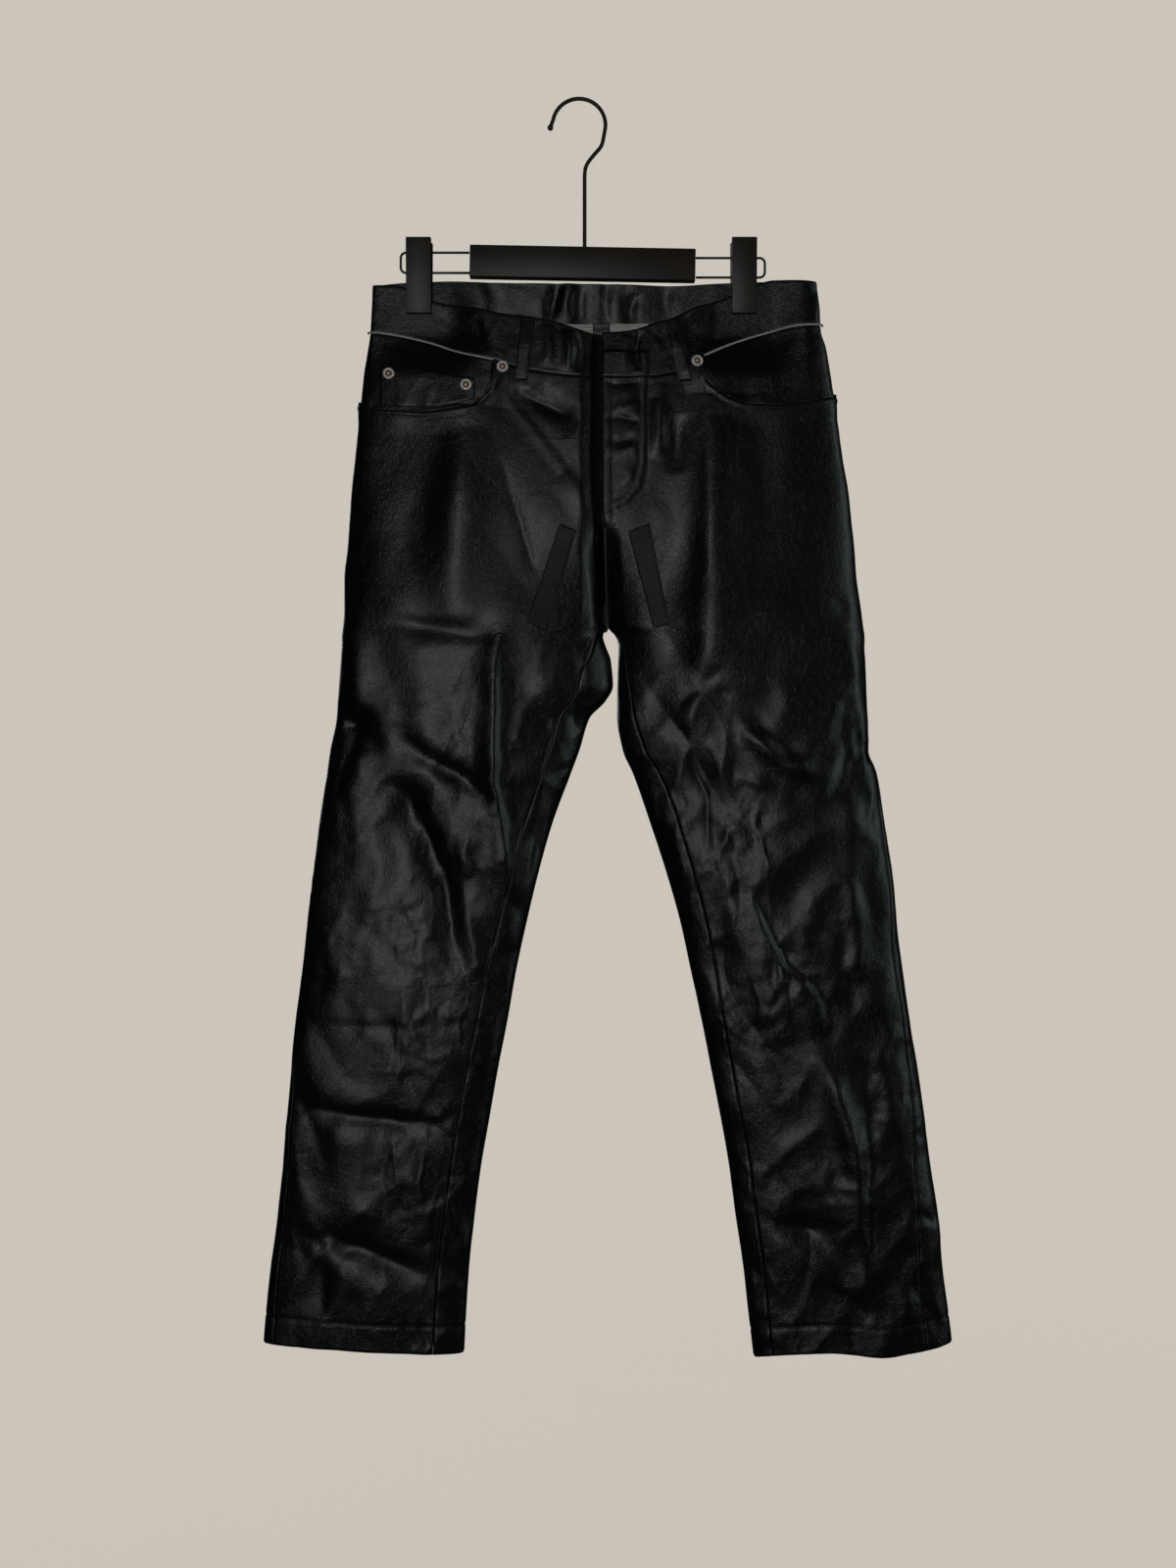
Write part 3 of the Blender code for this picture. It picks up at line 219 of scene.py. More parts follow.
# height: mm, ridges + and troughs -. near and far: widths on the left and right of the path.
# power: 2 is a soft round section, near 1 a crisp one. path: (x, z)
CREASES = {
    ("left", "front"): named(
        Crease,
        (4.2, 3, 17, 1.2, ((-73, -490), (-78, -532), (-80, -642), (-73, -672), (-67, -735))),
        (-1.6, 5, 9, 1.4, ((-185, -488), (-132, -498), (-97, -505), (-80, -502))),
        (3.0, 12, 12, 1.8, ((-212, -486), (-208, -541), (-212, -587))),
        (-3.0, 5, 7, 1.3, ((-221, -589), (-208, -582), (-195, -569))),
        (-2.4, 5, 8, 1.3, ((-213, -576), (-209, -598), (-221, -633), (-227, -653))),
        (2.4, 10, 14, 1.6, ((-202, -610), (-213, -670), (-206, -748))),
        (-6.5, 9, 40, 1.3, ((-185, -639), (-161, -654), (-141, -691), (-124, -735), (-117, -801))),
        (-2.6, 5, 10, 1.3, ((-170, -595), (-146, -615), (-109, -635), (-80, -660))),
        (2.4, 6, 8, 1.4, ((-103, -691), (-109, -708), (-101, -728))),
        (2.2, 7, 7, 1.5, ((-111, -741), (-101, -780), (-94, -822))),
        (3.0, 9, 9, 1.6, ((7, -509), (11, -541), (6, -561))),
        (-3.2, 4, 7, 1.2, ((18, -558), (-1, -566), (-5, -581), (-1, -595))),
        (-1.6, 3, 5, 1.2, ((-29, -635), (-16, -628), (-4, -623))),
        (-1.6, 3, 5, 1.2, ((-33, -672), (-39, -697), (-45, -728))),
        (-1.2, 3, 4, 1.2, ((-73, -807), (-65, -800), (-58, -794))),
        (-1.2, 3, 4, 1.2, ((-86, -862), (-77, -853), (-69, -844))),
        (-1.0, 3, 8, 1.3, ((-247, -863), (-195, -866), (-139, -865))),
        (-2.6, 4, 9, 1.2, ((-260, -940), (-220, -949), (-175, -954), (-139, -957), (-120, -955))),
        (1.6, 4, 4, 1.3, ((-139, -940), (-129, -955), (-115, -968))),
        (2.6, 9, 12, 1.6, ((-267, -951), (-263, -1006), (-245, -1059))),
        (-3.6, 7, 14, 1.4, ((-242, -1059), (-207, -1073), (-142, -1099))),
        (1.8, 9, 9, 1.6, ((-220, -1027), (-190, -1043), (-164, -1059))),
        (-2.4, 7, 10, 1.5, ((-242, -1059), (-239, -1102), (-240, -1140))),
        (2.4, 18, 24, 1.9, ((-213, -1075), (-190, -1111), (-177, -1140))),
        (2.2, 8, 8, 1.5, ((-129, -1027), (-116, -1056), (-101, -1087))),
        (-2.4, 6, 8, 1.4, ((-136, -1081), (-120, -1095), (-104, -1110))),
        (-1.2, 3, 3, 1.3, ((-164, -1143), (-158, -1156), (-153, -1167))),
        (-1.2, 3, 3, 1.3, ((-150, -1143), (-144, -1156), (-139, -1167))),
        (5.0, 34, 20, 1.6, ((-106, -290), (-112, -348), (-116, -403), (-116, -492))),
        (1.8, 5, 8, 1.3, ((-70, -281), (-33, -327), (0, -370), (15, -393))),
        (-3.0, 10, 14, 1.6, ((-40, -270), (-24, -291), (-2, -310))),
        (-1.4, 3, 6, 1.2, ((-73, -340), (-59, -385), (-46, -430), (-43, -446))),
        (2.0, 9, 9, 1.7, ((-18, -357), (-2, -375), (15, -393))),
        (2.6, 6, 8, 1.4, ((-4, -407), (7, -449), (17, -519))),
        (-2.6, 4, 7, 1.4, ((-137, -200), (-112, -214), (-87, -228))),
        (2.0, 4, 6, 1.5, ((-30, -214), (-28, -232), (-30, -254))),
        (4.0, 3, 5, 1.4, ((-12, -219), (-8, -236), (-10, -258))),
        (-3.4, 3, 4, 1.4, ((-3, -222), (0, -240), (-2, -260))),
        (-2.0, 5, 7, 1.5, ((-100, -206), (-92, -224), (-88, -240))),
        (-2.4, 4, 8, 1.3, ((-60, -276), (-36, -288), (-8, -300))),
    ),
    ("right", "front"): named(
        Crease,
        (6.5, 62, 14, 1.5, ((121, -280), (121, -366), (120, -458), (114, -556))),
        (2.0, 7, 9, 1.6, ((114, -548), (105, -573), (96, -595))),
        (1.6, 6, 6, 1.6, ((75, -270), (75, -307), (75, -340))),
        (-2.6, 9, 9, 1.7, ((88, -300), (90, -329), (88, -353))),
        (-2.0, 20, 22, 1.8, ((166, -297), (167, -385), (164, -486))),
        (-1.8, 4, 8, 1.3, ((132, -536), (113, -552), (88, -571))),
        (2.8, 4, 7, 1.2, ((152, -579), (157, -595), (174, -610), (191, -623), (216, -632))),
        (-2.2, 5, 5, 1.3, ((156, -572), (166, -589), (182, -603), (202, -615))),
        (2.6, 4, 5, 1.2, ((250, -569), (251, -595), (255, -617), (253, -635), (238, -661))),
        (2.2, 4, 5, 1.2, ((261, -582), (265, -610), (262, -642))),
        (2.4, 10, 12, 1.6, ((237, -653), (254, -674), (270, -698))),
        (-3.2, 4, 5, 1.3, ((262, -603), (269, -612), (275, -620))),
        (2.2, 9, 9, 1.6, ((248, -676), (252, -734), (258, -826))),
        (-1.6, 4, 6, 1.3, ((238, -466), (243, -478), (247, -490))),
        (1.8, 6, 8, 1.6, ((248, -483), (254, -532), (260, -581))),
        (1.8, 5, 6, 1.4, ((143, -635), (160, -639), (179, -645))),
        (-2.4, 4, 7, 1.2, ((98, -615), (109, -635), (118, -654), (118, -704))),
        (-1.4, 3, 5, 1.2, ((165, -669), (168, -677), (172, -686))),
        (1.6, 8, 8, 1.5, ((120, -601), (132, -633), (144, -670))),
        (2.4, 16, 10, 1.7, ((138, -679), (140, -753), (158, -826))),
        (6.0, 3, 27, 1.2, ((157, -742), (172, -780), (187, -809), (217, -835), (231, -872))),
        (2.8, 5, 10, 1.3, ((223, -891), (239, -930), (255, -983), (259, -1000), (266, -1124))),
        (-2.6, 6, 10, 1.6, ((265, -897), (269, -1001), (271, -1124))),
        (1.8, 10, 10, 1.6, ((212, -992), (228, -1021), (244, -1053))),
        (-1.8, 4, 8, 1.3, ((177, -1049), (201, -1053), (223, -1059))),
        (2.0, 14, 14, 1.8, ((237, -1024), (243, -1075), (239, -1124))),
        (-3.0, 6, 9, 1.4, ((217, -1105), (247, -1119), (271, -1140))),
        (1.8, 10, 10, 1.6, ((283, -1087), (297, -1111), (311, -1140))),
        (1.8, 5, 8, 1.5, ((295, -865), (283, -887), (271, -908))),
        (-1.4, 3, 4, 1.2, ((315, -1038), (323, -1046), (331, -1053))),
        (1.8, 12, 12, 1.7, ((282, -911), (287, -946), (296, -978))),
        (-2.4, 1.3, 1.3, 1.8, ((30.1, -262), (30.1, -330), (30.1, -408))),
        (-3.0, 2.5, 5, 1.3, ((22, -268), (34, -271), (56, -267))),
        (-3.4, 2.5, 6, 1.3, ((22, -303), (36, -301), (54, -306))),
        (-2.6, 2.5, 4, 1.3, ((23, -322), (36, -325), (50, -320))),
        (2.2, 3, 6, 1.4, ((24, -331), (38, -334), (53, -328))),
        (1.8, 4, 7, 1.5, ((34, -290), (40, -294), (54, -288))),
        (1.5, 5, 6, 1.6, ((40, -345), (46, -356), (38, -368))),
        (2.4, 4, 6, 1.5, ((44, -224), (40, -240), (42, -258))),
        (-2.6, 3, 5, 1.4, ((56, -220), (52, -240), (55, -258))),
        (1.8, 6, 6, 1.5, ((70, -284), (73, -312), (70, -338))),
        (-2.0, 4, 7, 1.4, ((100, -204), (112, -218), (132, -228))),
    ),
    ("left", "back"): named(
        Crease,
        (-3.0, 6, 12, 1.4, ((-196, -462), (-140, -486), (-70, -494), (-14, -486))),
        (2.0, 6, 9, 1.5, ((-180, -446), (-120, -466), (-60, -472))),
        (-2.6, 5, 10, 1.3, ((-150, -520), (-96, -532), (-30, -520))),
        (2.6, 12, 16, 1.8, ((-120, -520), (-128, -580), (-136, -640))),
        (-3.4, 6, 14, 1.3, ((-228, -618), (-176, -652), (-110, -664), (-50, -650))),
        (2.4, 5, 8, 1.3, ((-210, -640), (-160, -676), (-96, -688))),
        (-2.8, 5, 9, 1.3, ((-222, -668), (-180, -696), (-126, -706))),
        (-1.8, 4, 7, 1.3, ((-90, -700), (-66, -716), (-48, -742))),
        (2.6, 8, 12, 1.5, ((-132, -720), (-146, -800), (-162, -892))),
        (-2.0, 4, 8, 1.3, ((-236, -760), (-206, -786), (-178, -790))),
        (-1.6, 4, 6, 1.3, ((-110, -790), (-92, -806), (-72, -810))),
        (-3.0, 6, 12, 1.4, ((-262, -940), (-214, -968), (-150, -972), (-104, -956))),
        (2.2, 8, 10, 1.5, ((-250, -980), (-206, -1004), (-160, -1010))),
        (-2.2, 5, 9, 1.4, ((-258, -1040), (-204, -1066), (-150, -1064))),
        (2.0, 12, 14, 1.7, ((-222, -1080), (-200, -1112), (-190, -1140))),
        (4.4, 3, 5, 1.5, ((-20, -168), (-24, -186), (-30, -208))),
        (5.0, 4, 4, 1.5, ((3, -168), (0, -188), (1, -210))),
        (-3.0, 3, 4, 1.5, ((-9, -168), (-13, -188), (-12, -210))),
        (-2.0, 6, 9, 1.5, ((-96, -168), (-90, -186), (-92, -206))),
    ),
    ("right", "back"): named(
        Crease,
        (-3.0, 6, 12, 1.4, ((234, -456), (176, -480), (104, -490), (48, -480))),
        (2.0, 6, 9, 1.5, ((214, -440), (150, -462), (84, -468))),
        (-2.4, 5, 10, 1.3, ((190, -516), (130, -530), (66, -516))),
        (2.6, 12, 16, 1.8, ((158, -516), (168, -580), (176, -630))),
        (-3.4, 6, 14, 1.3, ((266, -598), (214, -634), (150, -650), (84, -636))),
        (2.4, 5, 8, 1.3, ((250, -624), (200, -662), (132, -672))),
        (-2.6, 5, 9, 1.3, ((272, -650), (228, -682), (176, -694))),
        (-1.8, 4, 7, 1.3, ((120, -690), (104, -712), (96, -740))),
        (2.6, 8, 12, 1.5, ((178, -700), (192, -786), (212, -890))),
        (-2.0, 4, 8, 1.3, ((284, -770), (252, -794), (222, -798))),
        (-1.6, 4, 6, 1.3, ((160, -820), (146, -838), (132, -842))),
        (-2.8, 6, 12, 1.4, ((316, -992), (262, -1024), (204, -1028), (160, -1010))),
        (2.2, 8, 10, 1.5, ((300, -950), (262, -974), (220, -978))),
        (-2.0, 5, 9, 1.4, ((322, -1076), (270, -1100), (222, -1098))),
        (2.0, 12, 14, 1.7, ((262, -1116), (250, -1134), (244, -1150))),
        (5.0, 3, 4, 1.5, ((25, -168), (22, -188), (24, -210))),
        (-3.4, 3, 4, 1.5, ((36, -168), (34, -188), (37, -210))),
        (4.0, 4, 5, 1.5, ((52, -178), (47, -194), (48, -210))),
        (2.0, 6, 9, 1.5, ((84, -168), (80, -186), (83, -206))),
    ),
}


# ---------------------------------------------------------------- the garment's form

def smooth(value, table):
    """Reads a table of (key, value) rows as a smooth curve that never overshoots a row."""
    keys, values = np.array(sorted((row[0], row[1]) for row in table), float).T
    rates = np.diff(values) / np.diff(keys)
    before, after = rates[:-1], rates[1:]
    level = before * after <= 0
    inside = np.where(level, 0, 2 * before * after / np.where(level, 1, before + after))
    slopes = np.concatenate([rates[:1], inside, rates[-1:]])
    value = np.clip(value, keys[0], keys[-1])
    at = np.clip(np.searchsorted(keys, value) - 1, 0, len(keys) - 2)
    step = keys[at + 1] - keys[at]
    t = (value - keys[at]) / step
    start = (1 + 2 * t) * (1 - t) ** 2 * values[at] + t * (1 - t) ** 2 * step * slopes[at]
    end = t * t * (3 - 2 * t) * values[at + 1] + t * t * (t - 1) * step * slopes[at + 1]
    return start + end


def reading(z, table, name):
    """One named column of a table, at the heights z."""
    return smooth(z, [(row.z, getattr(row, name)) for row in table])


def ramp(value, low, high):
    """0 at low, 1 at high, eased at both ends."""
    t = np.clip((value - low) / (high - low), 0.0, 1.0)
    return t * t * (3 - 2 * t)


def bell(distance, width):
    """1 at no distance, falling softly away over the width."""
    return np.exp(-((distance / width) ** 2))


def unit(vectors):
    return vectors / np.linalg.norm(vectors, axis=-1, keepdims=True)


def path_reading(x, z, path):
    """Distance from each (x, z) to a path, the share along it, and the hand, + on the left of its way."""
    best = np.full(np.shape(x), np.inf)
    along = np.zeros(np.shape(x))
    hand = np.ones(np.shape(x))
    pieces = len(path) - 1
    for i in range(pieces):
        (ax, az), (bx, bz) = path[i], path[i + 1]
        dx, dz = bx - ax, bz - az
        t = np.clip(((x - ax) * dx + (z - az) * dz) / (dx * dx + dz * dz), 0, 1)
        distance = np.hypot(x - ax - t * dx, z - az - t * dz)
        nearer = distance < best
        best = np.where(nearer, distance, best)
        along = np.where(nearer, (i + t) / pieces, along)
        hand = np.where(nearer, np.sign(dx * (z - az) - dz * (x - ax)), hand)
    return best, along, hand


def fold_height(side, face, x, z):
    """Height of the part's own large folds."""
    total = np.zeros(np.shape(x))
    for fold in FOLDS[side, face]:
        distance, along, _ = path_reading(x, z, fold.path)
        taper = FOLD_ENDS + (1 - FOLD_ENDS) * np.sin(math.pi * along)
        total += fold.height * taper * bell(distance, fold.width)
    return total


def pinch(side, x, z):
    """1 where the clip's jaws grip the waistband, 0 away from them."""
    return (1 - ramp(np.abs(x - CLIP_X[side]), PINCH_FLAT, PINCH_END)) * ramp(z, PINCH_LOW, PINCH_FULL)


def base(side, q, z, face):
    """The garment without its folds: its points, which lie on the front, and their rise from edge to crown.

    q runs round one leg: 0 at the outer edge, 1 at the inner edge or centre, 2 at the outer edge again.
    """
    q, z = np.broadcast_arrays(np.asarray(q, float), np.asarray(z, float))
    leg = ramp(-z, -TORSO_END, -CROTCH)
    if face == "front":
        q = np.where(leg < 1, np.minimum(q, 1.0), q)
        on_front = (q % 2) <= 1
    else:
        q = np.where(leg < 1, np.maximum(q, 1.0), q)
        on_front = (q % 2) < 1
    u = 1 - np.abs(1 - q % 2)
    out, edge = (reading(z, OUTLINES[side], name) for name in ("out", "inner"))
    inner = edge
    if side == "left":
        inner = edge + np.where(on_front, LAP * ramp(z, FLY_CLOSED, FLY_END), 0)
    front, mid, back, power = (reading(z, DEPTHS, name) for name in Depth._fields[1:])
    open_x = inner + (out - inner) * np.cos(math.pi * u / 2)
    closed_x = (out + inner) / 2 + (out - inner) / 2 * np.cos(math.pi * u)
    x = (1 - leg) * open_x + leg * closed_x
    open_rise = np.sin(math.pi * u / 2) ** power
    closed_rise = np.clip(np.sin(math.pi * u), 0, 1) ** power
    rise = (1 - leg) * open_rise + leg * closed_rise
    y = np.where(on_front, mid - (mid - front) * rise, mid + (back - mid) * rise)
    gripped = np.where(on_front, -PINCH, PINCH) * ramp(rise, 0.0, GRIP_RISE)
    y = y + (gripped - y) * pinch(side, x, z)
    if side == "left":
        lap = ramp(x, edge - LAP_SLOPE, edge - LAP_LEVEL) * ramp(z, FLY_FLAT, FLY_CLOSED)
        y = y + np.where(on_front, LAP_RECESS * lap, 0)
    return np.stack([x, y, z], -1), on_front, rise


def x_at(side, q, z, face):
    return base(side, q, z, face)[0][..., 0]


def seam_q(side, seam, z, face):
    """q of a leg's seam. Seen from the back, the outseam lies one whole turn, 2, further on."""
    return reading(z, SEAMS[side], seam) + (2.0 if (seam, face) == ("outseam", "back") else 0.0)


def from_centre(side, x, z):
    return np.abs(x - reading(z, OUTLINES[side], "inner"))


def from_mouth(side, x, z):
    return path_reading(x, z, POCKET_MOUTH[side])[0]


# ---------------------------------------------------------------- creases and crumple

CREST = 0.08
CREASE_TAPER = 0.6
NOISE_CELLS = 256
NOISE_START = (97.3, 131.7)
FACET_CELLS = 128
FACET_START = (57.0, 71.0)


def crease_height(side, face, x, z):
    """Height of the listed creases, each with a crest rounded over a small share of its width."""
    total = np.zeros(np.shape(x))
    for crease in CREASES[side, face]:
        distance, along, hand = path_reading(x, z, crease.path)
        width = np.where(hand > 0, crease.near, crease.far)
        crest = CREST * width
        rounded = np.sqrt(distance ** 2 + crest ** 2) - crest
        taper = np.clip(np.sin(math.pi * np.clip(along, 0, 1)), 0, 1) ** CREASE_TAPER
        total += crease.height * taper * np.exp(-((rounded / width) ** crease.power))
    return total


def lattice_places(x, z, cell, start):
    """Places counted in cells, and the whole cell that each lies in."""
    u, v = x / cell + start[0], z / cell + start[1]
    return u, v, np.floor(u).astype(int), np.floor(v).astype(int)


def lattice_noise(x, z, cell, seed):
    """Smooth noise, about -1 to 1, with one bump a cell."""
    angles = np.random.default_rng(seed).uniform(0, 2 * math.pi, (NOISE_CELLS, NOISE_CELLS))
    u, v, iu, iv = lattice_places(x, z, cell, NOISE_START)
    fu, fv = u - iu, v - iv

    def corner(du, dv):
        angle = angles[(iu + du) % NOISE_CELLS, (iv + dv) % NOISE_CELLS]
        return np.cos(angle) * (fu - du) + np.sin(angle) * (fv - dv)

    su, sv = (f ** 3 * (f * (f * 6 - 15) + 10) for f in (fu, fv))
    low = corner(0, 0) + su * (corner(1, 0) - corner(0, 0))
    high = corner(0, 1) + su * (corner(1, 1) - corner(0, 1))
    return 1.5 * (low + sv * (high - low))


def crackle(x, z, cell, seed):
    """Distance to the borders of an uneven net of facets, in cells: 0 on a border."""
    draws = np.random.default_rng(seed).uniform(0, 1, (FACET_CELLS, FACET_CELLS, 2))
    u, v, iu, iv = lattice_places(x, z, cell, FACET_START)
    first, second = np.full((2, *np.shape(x)), 9.0)
    for du in (-1, 0, 1):
        for dv in (-1, 0, 1):
            spot = draws[(iu + du) % FACET_CELLS, (iv + dv) % FACET_CELLS]
            distance = np.hypot(iu + du + spot[..., 0] - u, iv + dv + spot[..., 1] - v)
            second = np.where(distance < first, first, np.minimum(second, distance))
            first = np.minimum(first, distance)
    return second - first


# Where the cloth is crumpled most, as (z, share)
CRUMPLED = ((-170, 0.5), (-270, 0.4), (-330, 0.24), (-430, 0.26), (-520, 0.5), (-620, 0.95), (-800, 1.0),
            (-920, 0.85), (-1060, 1.0), (-1180, 0.7))
CRUMPLED_SIDE = {"left": 0.85, "right": 1.0}
SEAM_REACH = 9.0
PUCKER = 0.5


def crumple(side, face, x, z):
    """The uneven small relief all over: slow waves, broken planes with crisp edges, then a fine net.

    Each layer of noise gives its cell in mm and its own seed; the weights in planes are heights in mm.
    """
    seed = 11 * (side == "right") + 5 * (face == "back")
    share = smooth(z, CRUMPLED) * CRUMPLED_SIDE[side]
    bent_x = x + 5 * lattice_noise(x, z, 60, seed + 1)
    bent_z = z + 5 * lattice_noise(x, z, 60, seed + 2)
    lean = bent_x + 0.35 * bent_z
    waves = 0.9 * lattice_noise(bent_x, bent_z * 0.6, 38, seed + 3)
    patch = ramp(lattice_noise(x, z, 85, seed + 5), -0.3, 0.45)
    valleys = np.abs(lattice_noise(lean, bent_z * 0.5, 58, seed + 8))
    ridges = np.abs(lattice_noise(bent_x - 0.4 * bent_z, bent_z * 0.55, 48, seed + 9))
    broken = np.abs(lattice_noise(bent_x, bent_z, 23, seed + 10))
    facets = np.exp(-crackle(bent_x, bent_z * 0.75, 34, seed + 6) / 0.16)
    small = np.exp(-crackle(bent_x, bent_z * 0.8, 15, seed + 7) / 0.2)
    planes = 4.2 * valleys - 3.0 * ridges + (0.3 + 0.7 * patch) * (1.2 * broken + 0.9 * facets + 0.35 * small)
    return share * (waves + planes) + 0.12 * waves


def puckers(side, face, x, z):
    """Short wrinkles that the stitching draws in beside the seams and the hem."""
    seed = 31 * (side == "right") + 7 * (face == "back")
    hem = smooth(x, HEM_EDGE[side]) + HEM_DEPTH
    total = bell(z - hem, SEAM_REACH) * lattice_noise(x, z * 0.3, 10, seed + 21)
    for seam in ("outseam", "inseam"):
        distance = x - x_at(side, seam_q(side, seam, z, face), z, face)
        total = total + bell(distance, SEAM_REACH) * lattice_noise(x * 0.3, z, 11, seed + 22)
    if face == "front":
        total = total + bell(from_mouth(side, x, z), SEAM_REACH) * lattice_noise(x, z, 11, seed + 23)
    return PUCKER * total


def relief(side, face, x, z):
    return crease_height(side, face, x, z) + crumple(side, face, x, z) + puckers(side, face, x, z)


FLY_STEP = 1.1
FLY_STEP_REACH = 2.6
FLY_FACING_RANGE = (-430, -240)
GROOVE = 0.7
GROOVE_HALF = 1.5


def groove(distance):
    """The channel that a line of stitches pulls into the cloth."""
    return -GROOVE * bell(distance, GROOVE_HALF)


def fly_facing(x, z):
    """The step of the fly's facing, which lies behind the right front, and its two stitched channels."""
    outer, _, hand = path_reading(x, z, FLY_OUTER)
    inner = path_reading(x, z, FLY_INNER)[0]
    step = FLY_STEP * np.where(hand < 0, ramp(outer, 0.0, FLY_STEP_REACH), 0)
    return step + groove(outer) + groove(inner)


LAP_SHADE = 5.0
LAP_REACH = (1.0, 23.0)
LAP_SHADE_END = (-520.0, -470.0)
VALLEY = 6.5
VALLEY_HALF = (1.0, 16.0)
VALLEY_TOP = (398.0, 424.0)
VALLEY_LOW = (492.0, 506.0)
VALLEY_RISE = (0.02, 0.25)


def lap_shade(side, x, z, rise):
    """How far a front falls away beside the fly's lap, and in the valley between the legs below it."""
    valley = VALLEY * (1 - ramp(from_centre(side, x, z), *VALLEY_HALF)) * ramp(rise, *VALLEY_RISE)
    valley = valley * ramp(-z, *VALLEY_TOP) * (1 - ramp(-z, *VALLEY_LOW))
    if side == "right":
        return valley
    near, far = LAP_REACH
    return LAP_SHADE * np.clip((x - near) / (far - near), 0, 1) * ramp(z, *LAP_SHADE_END) + valley


STEP_Q = 0.004
STEP_Z = 1.0
FINE_RISE = (0.02, 0.42)
FINE_BY_FLY = 0.35
FINE_BY_CLIP = 0.25


def skin(side, q, z, face, lift=0.0, crumpled=1.0):
    """Points of the finished outer surface, and the way the form faces at each."""
    points, on_front, rise = base(side, q, z, face)
    round_way = base(side, q + STEP_Q, z, face)[0] - base(side, q - STEP_Q, z, face)[0]
    up_way = base(side, q, z + STEP_Z, face)[0] - base(side, q, z - STEP_Z, face)[0]
    normal = unit(np.cross(round_way, up_way) * TURN[side])
    x, z = points[..., 0], points[..., 2]
    folds, fine = (np.where(on_front, form(side, "front", x, z), form(side, "back", x, z))
                   for form in (fold_height, relief))
    beside_fly = np.maximum(ramp(from_centre(side, x, z), *CALM_FLY), 1 - ramp(z, *CALM_END))
    calm = ramp(rise, *CALM_RISE) * beside_fly
    fine = fine * ramp(rise, *FINE_RISE) * (FINE_BY_FLY + (1 - FINE_BY_FLY) * beside_fly)
    fine = fine * (FINE_BY_CLIP + (1 - FINE_BY_CLIP) * (1 - pinch(side, x, z))) * crumpled
    away = np.where(on_front, lap_shade(side, x, z, rise), 0)
    if side == "right":
        low, high = FLY_FACING_RANGE
        away = away - np.where(on_front & (z < high) & (z > low), fly_facing(x, z), 0)
    fallen = points + away[..., None] * np.array([0.0, 1.0, 0.0])
    return fallen + normal * (folds * calm + fine + lift)[..., None], normal


EDGE_ROUNDS = 8


def on_edge(side, q, edge, face):
    """Heights where the edge, a table of (x, z), crosses the lines of constant q."""
    z = np.full(np.shape(q), np.mean([point[1] for point in edge]))
    for _ in range(EDGE_ROUNDS):
        z = smooth(x_at(side, q, z, face), edge)
    return z


def mouth_lift(side, x, z):
    """How far the front stands out near its pocket mouth."""
    return MOUTH_LIFT * (1 - ramp(from_mouth(side, x, z), MOUTH_EDGE, MOUTH_FADE))


def mouth_hem(side, x, z):
    """The turned edge of the pocket mouth: two layers, stitched twice."""
    distance = from_mouth(side, x, z)
    channels = sum(groove(distance - inset) for inset in MOUTH_STITCHES)
    end = MOUTH_STITCHES[1]
    return MOUTH_HEM * (1 - ramp(distance, end, end + MOUTH_HEM_FADE)) + channels


def hem_lift(side, x, z):
    """The channel of the leg's hem stitching."""
    return groove(z - smooth(x, HEM_EDGE[side]) - HEM_DEPTH)


CROWDED_REACH = 0.06


def spread(count, start, end):
    """Shares from 0 to 1, closer together at the ends by the given amounts."""
    t = np.linspace(0, 1, count)
    speed = 1 - start * np.exp(-t / CROWDED_REACH) - end * np.exp(-(1 - t) / CROWDED_REACH)
    total = np.concatenate([[0], np.cumsum((speed[1:] + speed[:-1]) / 2)])
    return total / total[-1]


# ---------------------------------------------------------------- meshes

EDGE_ROLL = 0.55
EDGE_REACH = 1.1


def rim_distance(grid):
    """Distance along the cloth from each point to the nearest of the grid's four edges."""
    nearest = np.full(grid.shape[:2], np.inf)
    for axis in (0, 1):
        steps = np.linalg.norm(np.diff(grid, axis=axis), axis=-1)
        none = np.zeros_like(np.take(steps, [0], axis))
        forth = np.concatenate([none, np.cumsum(steps, axis)], axis)
        back = np.concatenate([none, np.cumsum(np.flip(steps, axis), axis)], axis)
        nearest = np.minimum(nearest, np.minimum(forth, np.flip(back, axis)))
    return nearest


def roll_edges(outer, normal):
    """Rounds the sheet's outer side off towards its edges."""
    return outer - normal * (EDGE_ROLL * bell(rim_distance(outer), EDGE_REACH))[..., None]


def close_seams(grid):
    """Draws the rim of a grid in, so that two neighbours leave a gap at their seam."""
    for first, second in ((0, 1), (-1, -2)):
        for rim, inside in ((grid[first], grid[second]), (grid[:, first], grid[:, second])):
            step = inside - rim
            rim += SEAM_GAP / 2 * step / np.linalg.norm(step, axis=-1, keepdims=True)
    return grid


def linked(name, data):
    """An object of the data, in the scene."""
    made = bpy.data.objects.new(name, data)
    bpy.context.scene.collection.objects.link(made)
    return made


def add_mesh(name, points, faces, finishes, finish_index=None):
    """A mesh object from points in mm and faces of one size."""
    faces = np.asarray(faces, np.int32)
    mesh = bpy.data.meshes.new(name)
    mesh.vertices.add(len(points))
    mesh.vertices.foreach_set("co", (np.asarray(points, np.float32) * MM).ravel())
    mesh.loops.add(faces.size)
    mesh.loops.foreach_set("vertex_index", faces.ravel())
    mesh.polygons.add(len(faces))
    mesh.polygons.foreach_set("loop_start", np.arange(0, faces.size, faces.shape[1], dtype=np.int32))
    mesh.polygons.foreach_set("use_smooth", np.ones(len(faces), bool))
    if finish_index is not None:
        mesh.polygons.foreach_set("material_index", np.asarray(finish_index, np.int32))
    mesh.update(calc_edges=True)
    mesh.validate()
    for finish in finishes:
        mesh.materials.append(finish)
    return linked(name, mesh)


